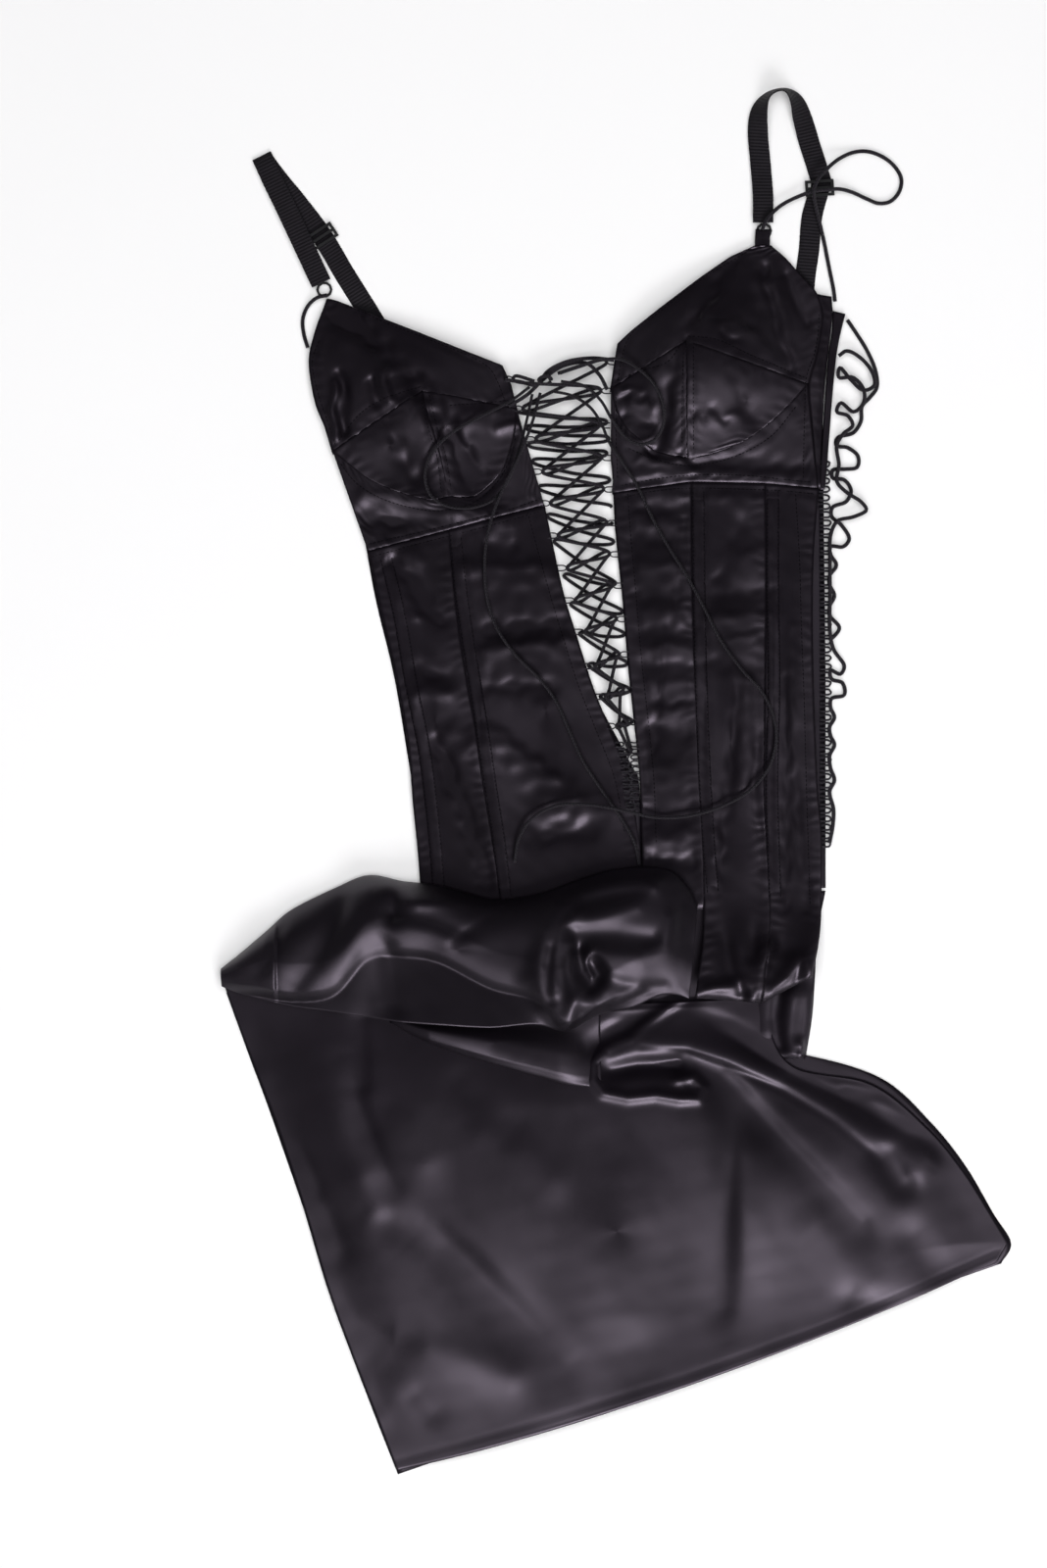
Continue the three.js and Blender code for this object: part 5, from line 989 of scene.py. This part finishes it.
# ---------------------------------------------------------------- bodice
CELL = 1.8
PANELS = {
    "cup_upper_l": (CUP_UPPER_L, True, (4, 5)), "cup_outer_l": (CUP_OUTER_L, False, ()), "cup_inner_l": (CUP_INNER_L, False, ()),
    "cup_upper_r": (CUP_UPPER_R, True, (0, 1)), "cup_outer_r": (CUP_OUTER_R, False, ()), "cup_inner_r": (CUP_INNER_R, False, ()),
    "band_l": (BAND_L, False, ()), "band_r": (BAND_R, False, ()), "side_panel_l": (SIDE_PANEL_L, False, ()),
    "front_panel_l": (FRONT_PANEL_L, False, ()), "front_panel_r": (FRONT_PANEL_R, False, ()),
    "side_facing_r": (SIDE_FACING_R, False, ()), "mid_panel_r": (MID_PANEL_R, False, ()), "side_panel_r": (SIDE_PANEL_R, False, ()),
}
ALL_STITCHES = casing_edges() + STITCH_ROUTES


def puckers(x, y, seed, high=0.30):
    """short drawn-in waves along the four edges of a panel"""
    du = np.hypot(np.diff(x, axis=1), np.diff(y, axis=1))
    dv = np.hypot(np.diff(x, axis=0), np.diff(y, axis=0))
    cu = np.concatenate([np.zeros((x.shape[0], 1)), np.cumsum(du, 1)], 1)
    cv = np.concatenate([np.zeros((1, x.shape[1])), np.cumsum(dv, 0)], 0)
    side, end = np.minimum(cu, cu[:, -1:] - cu), np.minimum(cv, cv[-1:, :] - cv)
    wob = ripple(x, y, seed, 30) * 3
    a = np.sin(cv / 8.5 * math.tau + wob) * np.exp(-((side - 3) / 7) ** 2) * (0.6 + 0.4 * ripple(x, y, seed + 5, 45))
    b = np.sin(cu / 9.5 * math.tau + wob * 1.3) * np.exp(-((end - 3) / 7) ** 2) * (0.6 + 0.4 * ripple(x, y, seed + 6, 45))
    return high * (a + b)


def panel_detail(x, y, seed):
    d = edge_distance(x, y)
    soft = ramp(d / 9)
    return (creases(x, y, 21) * (0.35 + 0.65 * soft) + puckers(x, y, seed) * ramp(d / 2.2) - 0.10 * np.exp(-((d / 1.4) ** 2))
            + grooves(x, y, ALL_STITCHES))


def tucked(x, y, z, far=2.0, deep=0.75):
    """the rim that looks down the dress goes under the next panel"""
    x, y, z = x.copy(), y.copy(), z.copy()
    a = slice(None)
    for rim, inner in (((a, 0), (a, 1)), ((a, -1), (a, -2)), ((0, a), (1, a)), ((-1, a), (-2, a))):
        dx, dy = x[rim] - x[inner], y[rim] - y[inner]
        l = np.maximum(1e-6, np.hypot(dx, dy))
        w = ramp((-dy / l - 0.45) / 0.3)
        x[rim], y[rim], z[rim] = x[rim] + dx / l * far * w, y[rim] + dy / l * far * w, z[rim] - deep * w
    return x, y, z


for number, (name, (table, corner, straight)) in enumerate(PANELS.items()):
    top = neck_top if name in ("mid_panel_r", "side_panel_r") else bodice_top
    x, y = plan(table, CELL, corner, straight=straight)
    x, y, z = tucked(x, y, top(x, y) + panel_detail(x, y, 50 + number))
    ob = shell(name.replace("_", " "), x, y, z, 0.9)
    w, l = float(np.hypot(x[:, -1] - x[:, 0], y[:, -1] - y[:, 0]).max()) / 1000, float(np.hypot(np.diff(x, axis=0), np.diff(y, axis=0)).sum(0).max()) / 1000
    cloth(ob, SATIN, [name])

# boning channels: low rounded strips on the panels
for name, line in CASINGS.items():
    top = bodice_top if name in ("casing_l1", "casing_l2", "casing_r1") else neck_top
    c = path_through([(x, y) for x, y in line], 2.0)
    t = np.gradient(c, axis=0)
    t /= np.linalg.norm(t, axis=1, keepdims=True)
    u = np.linspace(-1, 1, 13)[None, :]
    x = c[:, :1] - t[:, 1:] * u * CASING_WIDTH / 2
    y = c[:, 1:] + t[:, :1] * u * CASING_WIDTH / 2
    s = np.arange(len(c))[:, None] * 2.0
    seam = np.exp(-(((np.abs(u) - 0.84) / 0.13) ** 2))
    tip = ramp(np.minimum(s, s[-1] - s) / 11.0)      # the ends go down into the seams
    z = (top(x, y) + creases(x, y, 21) * 0.9 - 0.45 + tip * (0.43 + 0.58 * np.maximum(0, 1 - np.abs(u) ** 3) ** 0.7
         - seam * (0.16 + 0.12 * np.sin(s / 3.2 * math.tau)) + 0.12 * ripple(x, y, 77, 9)))
    ob = shell(name.replace("_", " "), x, y, z, 0.6)
    cloth(ob, SATIN, [name])

# flat layers underneath
STRIP_FOLDS = [(3.2, 6, 7, P(812, 1000, 806, 1030, 803, 1055, 812, 1082)), (-4, 4, 4, P(796, 1004, 791, 1040, 796, 1068)), (2, 7, 7, P(778, 1022, 780, 1050)), (3, 3, 3, P(815, 1064, 820, 1070, 817, 1078))]
for name, table, mat in (("back_l", BACK_L, SATIN_UNDER), ("back_r", BACK_R, SATIN_UNDER), ("skirt_neck", SKIRT_NECK[:-1] + [tuple(P(700, 1068, 821, 1083))], SATIN_SKIRT), ("skirt_back", SKIRT_BACK, SATIN_SKIRT)):
    x, y = plan(table, 2.2 if name == "skirt_neck" else 5, False, 0)
    d = edge_distance(x, y)
    z = 1.25 + 0.35 * ramp(d / 8) * (0.5 + 0.5 * ripple(x, y, 5, 40))
    if name == "skirt_neck":       # the strip of skirt that shows beside the fold stands up in a low ridge
        z = z + np.maximum(0, 3.4 * ramp((x - 100) / 30) + folds(x, y, STRIP_FOLDS)) * ramp(d / 5) * ramp((-146 - y) / 14)
    ob = shell(name.replace("_", " "), x, y, z, 1.2, under=0.02)
    w, l = float(np.hypot(x[:, -1] - x[:, 0], y[:, -1] - y[:, 0]).max()) / 1000, float(np.hypot(np.diff(x, axis=0), np.diff(y, axis=0)).sum(0).max()) / 1000
    cloth(ob, mat, [name])

x, y = plan(SIDE_TAPE_R, 2, False, 0)
cloth(shell("side lacing strip", x, y, 3.4 + 0.2 * ripple(x, y, 8, 30), 1.0), SATIN, ["side_tape_r"])

# ---------------------------------------------------------------- skirt
first = SKIRT_FRONT[0]
x, y = plan([(first[0] - 2, first[1] + 5, first[2], first[3] + 8, first[4], first[5] + 6)] + SKIRT_FRONT[1:], 2.2, False, 0, straight=((4, 6), (5, 6)))
hem = near(x, y, SKIRT_HEM)[0]
z = skirt_top(x, y)
hook = folds(x, y, HOOK_FOLDS)
z = np.maximum(z + hook, 1.9 + CLOTH) + 0.22 * np.exp(-(((hem - 2.2) / 1.9) ** 2)) - 0.14 * np.exp(-(((hem - 8) / 1.8) ** 2))
z = z + 0.07 * ripple(x, y, 14, 26) + 0.3 * np.sin(y / 13.0 + ripple(x, y, 15, 60) * 2) * np.exp(-((near(x, y, SKIRT_SIDE_L)[0] / 14) ** 2))
ob = shell("skirt front", x, y, z, 0.9, under=1.5)
cloth(ob, SATIN_SKIRT, ["skirt_front"])

# cloth rolled under the fold: a long low roll that ends in the turned-back waist edge
ROLL = [r for r in FLAP if r[0] < -17] + [tuple(P(613, 1108, 612, 1030))]
x, y = plan(ROLL, 1.7, False, 0)
n, m = x.shape
v, u = np.linspace(0, 1, n)[:, None], np.linspace(0, 1, m)[None, :]
end = np.clip(v / 0.22, 0, 1) ** 0.6
end = end * (1 - 0.9 * ramp((v - 0.80) / 0.20))
face = np.clip(u / 0.11, 0, 1) ** 0.8
round_top = 1 - (np.clip((0.36 - u) / 0.27, 0, 1)) ** 2
rise = 0.62 * face + 0.38 * np.where(u < 0.09, 0, round_top)
rise = rise * (1 - 0.97 * ramp((u - 0.34) / 0.34))
z = skirt_top(x, y) + 0.5 + 8.6 * rise * end + 0.08 * ripple(x, y, 19, 20)
ob = shell("skirt flap", x, y, z, 1.0, under=skirt_top(x, y) + 0.3)
cloth(ob, SATIN_SKIRT, ["skirt_flap"])

# section by section: share of the way from the fold's lower edge to its upper edge where the crest
# runs, and how much of the face below the crest slopes evenly instead of dropping at once
CREST = [0.33, 0.275, 0.20, 0.17, 0.22, 0.48, 0.545, 0.525, 0.39, 0.27, 0.07, 0.08, 0.16, 0.12, 0.09, 0.09]
EVEN = [0.2, 0.1, 0, 0, 0.15, 0.6, 0, 0, 0, 0.3, 1, 1, 0.6, 0.8, 1, 1]


def fold_top_surface(cell):
    x, y = plan([r[:4] for r in FOLD_TOP], cell, False, 0)
    n, m = x.shape
    t = np.linspace(0, len(FOLD_TOP) - 1, n)
    low, crest, up = (smooth_rows([(r[k], r[k]) for r in FOLD_TOP], t)[:, :1] for k in (4, 5, 6))
    uc = np.clip(smooth_rows([(c, c) for c in CREST], t)[:, :1], 0.06, 0.9)
    even = np.clip(smooth_rows([(c, c) for c in EVEN], t)[:, :1], 0, 1)
    u = np.linspace(0, 1, m)[None, :]
    wide = np.hypot(x[:, -1:] - x[:, :1], y[:, -1:] - y[:, :1])
    d = (u - uc) * wide                                # millimetres above (+) or below (-) the crest line
    crest = crest - 4.0 * (wide > 60)
    drop = np.clip(-d / 8.5, 0, 1)
    ledge = low + (crest - low) * 0.15
    sudden = crest - (crest - ledge) * drop ** 1.35 + 0.22 * np.maximum(0, -d - 8.5)
    gentle = low + (crest - low) * np.clip(u / uc, 0, 1) ** 0.85
    below = sudden * (1 - even) + gentle * even
    reach = np.minimum(20.0, (1 - uc) * wide * 0.5)    # the cloth rises a little more behind the crest
    rise = 0.50 * np.minimum(d, reach) - 0.25 * np.minimum(d, reach) ** 2 / reach
    w = np.clip((d - reach) / np.maximum(1, (1 - uc) * wide - reach), 0, 1)
    peak = crest + 0.25 * reach
    above = np.where(d < reach, crest + rise, peak + (up - peak) * (0.30 * w + 0.70 * w ** 4))
    z = np.where(d < 0, below, above) + CLOTH
    return x, y, z + folds(x, y, FOLD_TOP_FOLDS) * ramp(np.minimum(u + 0.04, 1 - u) * 6) + 0.1 * ripple(x, y, 33, 22), u


x, y, z, u = fold_top_surface(1.5)
ob = shell("skirt fold", x, y, z, 1.1, under=2.0)
cloth(ob, SATIN_FOLD, ["skirt_fold"])

# folded cloth inside: a rounded mass that fills the fold, in layers at its lower edge
x, y, z, u = fold_top_surface(4.0)
n, m = x.shape
i0, i1, j0, j1 = int(n * 0.09), int(n * 0.93), int(m * 0.25), int(m * 0.87)
hx, hy, hz = x[i0:i1, j0:j1], y[i0:i1, j0:j1], z[i0:i1, j0:j1] - HEAP_GAP - 1.5
under = np.where((hy > -112) & (hx > -152), 8.0, np.where((hx > -14) | (hy < -154), 1.6, 0.02))
ob = shell("skirt folded layers", hx, hy, np.maximum(hz, under + 0.5), 60, under=under)
dress_piece(ob, SATIN_UNDER, ["skirt_heap"])
for k, (share, back) in enumerate(((0.62, 0.035), (0.34, 0.07))):
    q = fold_top_surface(2.4)
    lx, ly, lz = q[0], q[1], q[2]
    n, m = lx.shape
    a, b = int(n * 0.03), int(n * (0.96 - 0.05 * k))
    cols = np.linspace(back, back + 0.26, 12)
    f = cols * (m - 1)
    c0 = np.floor(f).astype(int)
    w = (f - c0)[None, :]
    ex = lx[a:b][:, c0] * (1 - w) + lx[a:b][:, c0 + 1] * w
    ey = ly[a:b][:, c0] * (1 - w) + ly[a:b][:, c0 + 1] * w
    rim = lz[a:b, :1]
    wave = 0.5 * ripple(ex[:, :1], ey[:, :1] * 0, 60 + k, 40)
    bow = np.sqrt(np.maximum(0, 1 - (1 - np.linspace(0, 1, 12)[None, :] * 2.2).clip(0, 1) ** 2))
    ez = np.maximum(2.2 + k * -0.3, (rim - 2.2) * (share + 0.06 * wave) - 1.6 + 1.8 * bow)
    ez = np.maximum(ez, skirt_top(ex, ey) * (ey < -158) + 1.2)
    ob = shell("skirt layer " + str(k + 1), ex, ey, ez, 1.0)
    cloth(ob, SATIN_SKIRT, ["skirt_heap"])

# ---------------------------------------------------------------- straps and hardware
def ribbon(name, table, width, thick, nodes, mat):
    """flat elastic band through a table of centres, with its own UV"""
    c = path_through(table, 1.5)
    t = np.gradient(c[:, :3], axis=0)
    t /= np.linalg.norm(t, axis=1, keepdims=True)
    a, b = np.radians(c[:, 3]), np.radians(c[:, 4])
    w = np.stack([np.cos(b) * np.cos(a), np.cos(b) * np.sin(a), np.sin(b)], 1)
    nrm = np.cross(t, w)
    nrm /= np.linalg.norm(nrm, axis=1, keepdims=True)
    s = np.concatenate([[0], np.cumsum(np.linalg.norm(np.diff(c[:, :3], axis=0), axis=1))]) / 1000
    prof = [(-1, -0.5), (-0.93, -1), (-0.5, -0.9), (0, -0.95), (0.5, -0.9), (0.93, -1), (1, -0.5),
            (1, 0.5), (0.93, 1), (0.5, 0.9), (0, 0.95), (-0.5, 0.9), (-0.93, 1), (-1, 0.5)]
    k, v, uv, f = len(prof), [], [], []
    for i in range(len(c)):
        for pu, pw in prof:
            v.append(c[i, :3] + w[i] * pu * width / 2 + nrm[i] * pw * thick / 2)
            uv.append(((pu + 1) / 2, s[i]))
    for i in range(len(c) - 1):
        for j in range(k):
            p, q = i * k + j, i * k + (j + 1) % k
            f.append((p, q, q + k, p + k))
    e = (len(c) - 1) * k
    f.append(tuple(range(k - 1, -1, -1)))
    f.append(tuple(range(e, e + k)))
    ob = mesh_object(name, metres(v), f, uv)
    bm_fix(ob)
    return cloth(ob, mat, nodes)


def bm_fix(ob):
    import bmesh

    bm = bmesh.new()
    bm.from_mesh(ob.data)
    bmesh.ops.recalc_face_normals(bm, faces=bm.faces)
    bm.to_mesh(ob.data)
    bm.free()


ribbon("strap left", STRAP_L, STRAP_WIDTH, STRAP_THICK, ["strap_l"], ELASTIC)
ribbon("strap right", STRAP_R, STRAP_WIDTH, STRAP_THICK, ["strap_r"], ELASTIC)
ribbon("ring loop right", [(107.6, 404, 4.0, 0, 0), (107.2, 398, 4.1, 0, 0), (107, 391, 4.8, 0, 0)], 11, 1, ["ring_tab_r"], SATIN)

for n in ("ring_l", "ring_r", "slider_l", "slider_r"):
    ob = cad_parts[n]
    ob.data.materials.clear()
    ob.data.materials.append(HARDWARE)

# knot
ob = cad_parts["lace_knot"]
parts = []
kx, ky, kz, kw, kd, kh = KNOT
for turn, lean in ((0.2, 0.5), (2.2, -0.4), (4.1, 0.2)):
    pts = [(kx + math.cos(a) * 4.3 * (1 + 0.15 * math.sin(a * 2 + turn)), ky + math.sin(a) * 2.9, kz + 2.0 + math.sin(a + turn) * 1.4 + lean) for a in np.linspace(0, math.tau * 0.93, 22)]
    parts.append(tube_parts(pts, LACE / 2, 10))
dress_piece(joined("knot", parts), BRAID, ["lace_knot"])

# hooks along the centre front: small wire loops sewn to each edge
parts = []
for k, (lx, ly, rx, ry) in enumerate(HOOKS):
    for s, x, y in ((1, lx, ly), (-1, rx, ry)):
        z = float(bodice_top(np.array([x]), np.array([y]))[0]) - 0.4
        a = np.linspace(-math.pi / 2, math.pi / 2, 11)
        pts = [(x - s * 3, y - 1.9, z)] + [(x + s * (1.4 + 2.6 * math.cos(t)), y + 1.9 * math.sin(t), z + 0.3) for t in a] + [(x - s * 3, y + 1.9, z)]
        parts.append(tube_parts(path_through(pts, 0.6), 0.5, 7))
for k in range(11):            # at the foot of the gap the loops stand close together
    t = k / 10
    y = 26 - 46 * t
    for s, x in ((1, edge_x(HOOK_L, max(y, 20.5)) + 5.5 * t), (-1, edge_x(HOOK_R, max(y, 21)) - 1)):
        z = float(bodice_top(np.array([x]), np.array([y]))[0]) + RNG.uniform(-0.4, 1.2)
        pts = [(x - s * 2.5, y - 1.5, z)] + [(x + s * (1.2 + 2.8 * math.cos(t2)), y + 1.7 * math.sin(t2) + RNG.uniform(-0.5, 0.5), z + RNG.uniform(0, 0.9)) for t2 in np.linspace(-1.5, 1.5, 7)] + [(x - s * 2.5, y + 1.5, z)]
        parts.append(tube_parts(path_through(pts, 0.6), 0.6, 7))
for k in range(46):            # the loops that the side lacing runs through
    y = 232 - k * 6.2
    x = 152.6 + (1.2 if y < 200 else 0.4)
    z = 2.6 + RNG.uniform(-0.3, 0.5)
    pts = [(x - 4, y - 1.8, z)] + [(x + 0.6 + 3.0 * math.cos(t) + RNG.uniform(-0.4, 0.4), y + 2.0 * math.sin(t), z) for t in np.linspace(-1.5, 1.5, 7)] + [(x - 4, y + 1.8, z)]
    parts.append(tube_parts(path_through(pts, 0.6), 0.75, 7))
hooks = joined("lacing loops", parts)
dress_piece(hooks, LOOP_THREAD, ["hook_tape_l", "hook_tape_r"])

# ---------------------------------------------------------------- stitching
def stitches(routes, top, pitch=3.0, long=2.1, r=0.26, lift=0.05):
    xy = []
    for route in routes:
        c = path_through([(route[i], route[i + 1]) for i in range(0, len(route), 2)], 0.5)
        s = np.concatenate([[0], np.cumsum(np.linalg.norm(np.diff(c, axis=0), axis=1))])
        at = 0.6
        while at + long < s[-1]:
            w = np.array([at, at + long * 0.2, at + long * 0.5, at + long * 0.8, at + long])
            xy.append([np.interp(w, s, c[:, 0]), np.interp(w, s, c[:, 1])])
            at += pitch * RNG.uniform(0.95, 1.05)
    xy = np.array(xy)
    z = top(xy[:, 0], xy[:, 1]) + lift + np.array([-0.4, 0.0, 0.08, 0.0, -0.4])
    return [tube_parts(np.stack([xy[k, 0], xy[k, 1], z[k]], 1), r, 5) for k in range(len(xy))]


parts = stitches(STITCH_ROUTES, lambda x, y: neck_top(x, y) + creases(x, y, 21) - 0.12)
parts += stitches(casing_edges(-0.8), lambda x, y: neck_top(x, y) + creases(x, y, 21) * 0.9 + 0.10)
dress_piece(joined("stitching", parts), THREAD, [])

# ---------------------------------------------------------------- floor and light
bpy.ops.mesh.primitive_plane_add(size=8, location=(0, 0, 0))
floor = bpy.context.object
floor.name = "floor"
fm, nt, b = base_material("floor", (0.93, 0.925, 0.93), 0.8)
n1 = node(nt, "ShaderNodeTexNoise")
n1.inputs["Scale"].default_value = 6
tc = node(nt, "ShaderNodeTexCoord")
cr = node(nt, "ShaderNodeValToRGB")
cr.color_ramp.elements[0].color = (0.925, 0.92, 0.925, 1)
cr.color_ramp.elements[1].color = (0.94, 0.935, 0.94, 1)
nt.links.new(tc.outputs["Object"], n1.inputs["Vector"])
nt.links.new(n1.outputs["Fac"], cr.inputs["Fac"])
nt.links.new(cr.outputs["Color"], b.inputs["Base Color"])
floor.data.materials.append(fm)


def area_light(name, loc, target, size, power, colour=(1, 1, 1)):
    d = bpy.data.lights.new(name, "AREA")
    d.shape = "RECTANGLE"
    d.size, d.size_y = size
    d.energy = power
    d.color = colour
    o = bpy.data.objects.new(name, d)
    bpy.context.scene.collection.objects.link(o)
    o.location = loc
    o.rotation_euler = (Vector(target) - Vector(loc)).to_track_quat("-Z", "Y").to_euler()
    return o


KEY_AT, KEY_SIZE = (1.04, -3.17, 2.67), (2.34, 1.5)
key = area_light("key on the satin", KEY_AT, (0, -0.05, 0), KEY_SIZE, 300)
key.visible_diffuse = False
soft = area_light("key on the floor", KEY_AT, (0, -0.05, 0), KEY_SIZE, 76)
soft.visible_glossy = False
over = area_light("overhead fill", (0, 0, 3.0), (0, 0, 0), (3.6, 3.6), 106)
over.visible_glossy = False
world = bpy.data.worlds.new("world")
bpy.context.scene.world = world
world.use_nodes = True
wt = world.node_tree
bg = wt.nodes["Background"]
bg.inputs["Color"].default_value = (0.97, 0.96, 1.0, 1)
wc = node(wt, "ShaderNodeTexCoord")
ws = node(wt, "ShaderNodeSeparateXYZ")
wm = node(wt, "ShaderNodeMapRange", interpolation_type="SMOOTHSTEP")
for key, value in (("From Min", 0.1), ("From Max", 0.9), ("To Min", 0.04), ("To Max", 0.09)):
    wm.inputs[key].default_value = value
wt.links.new(wc.outputs["Generated"], ws.inputs["Vector"])
wt.links.new(ws.outputs["Z"], wm.inputs["Value"])
wt.links.new(wm.outputs["Result"], bg.inputs["Strength"])

bpy.context.scene.view_settings.view_transform = "Standard"
bpy.context.scene.view_settings.look = "None"
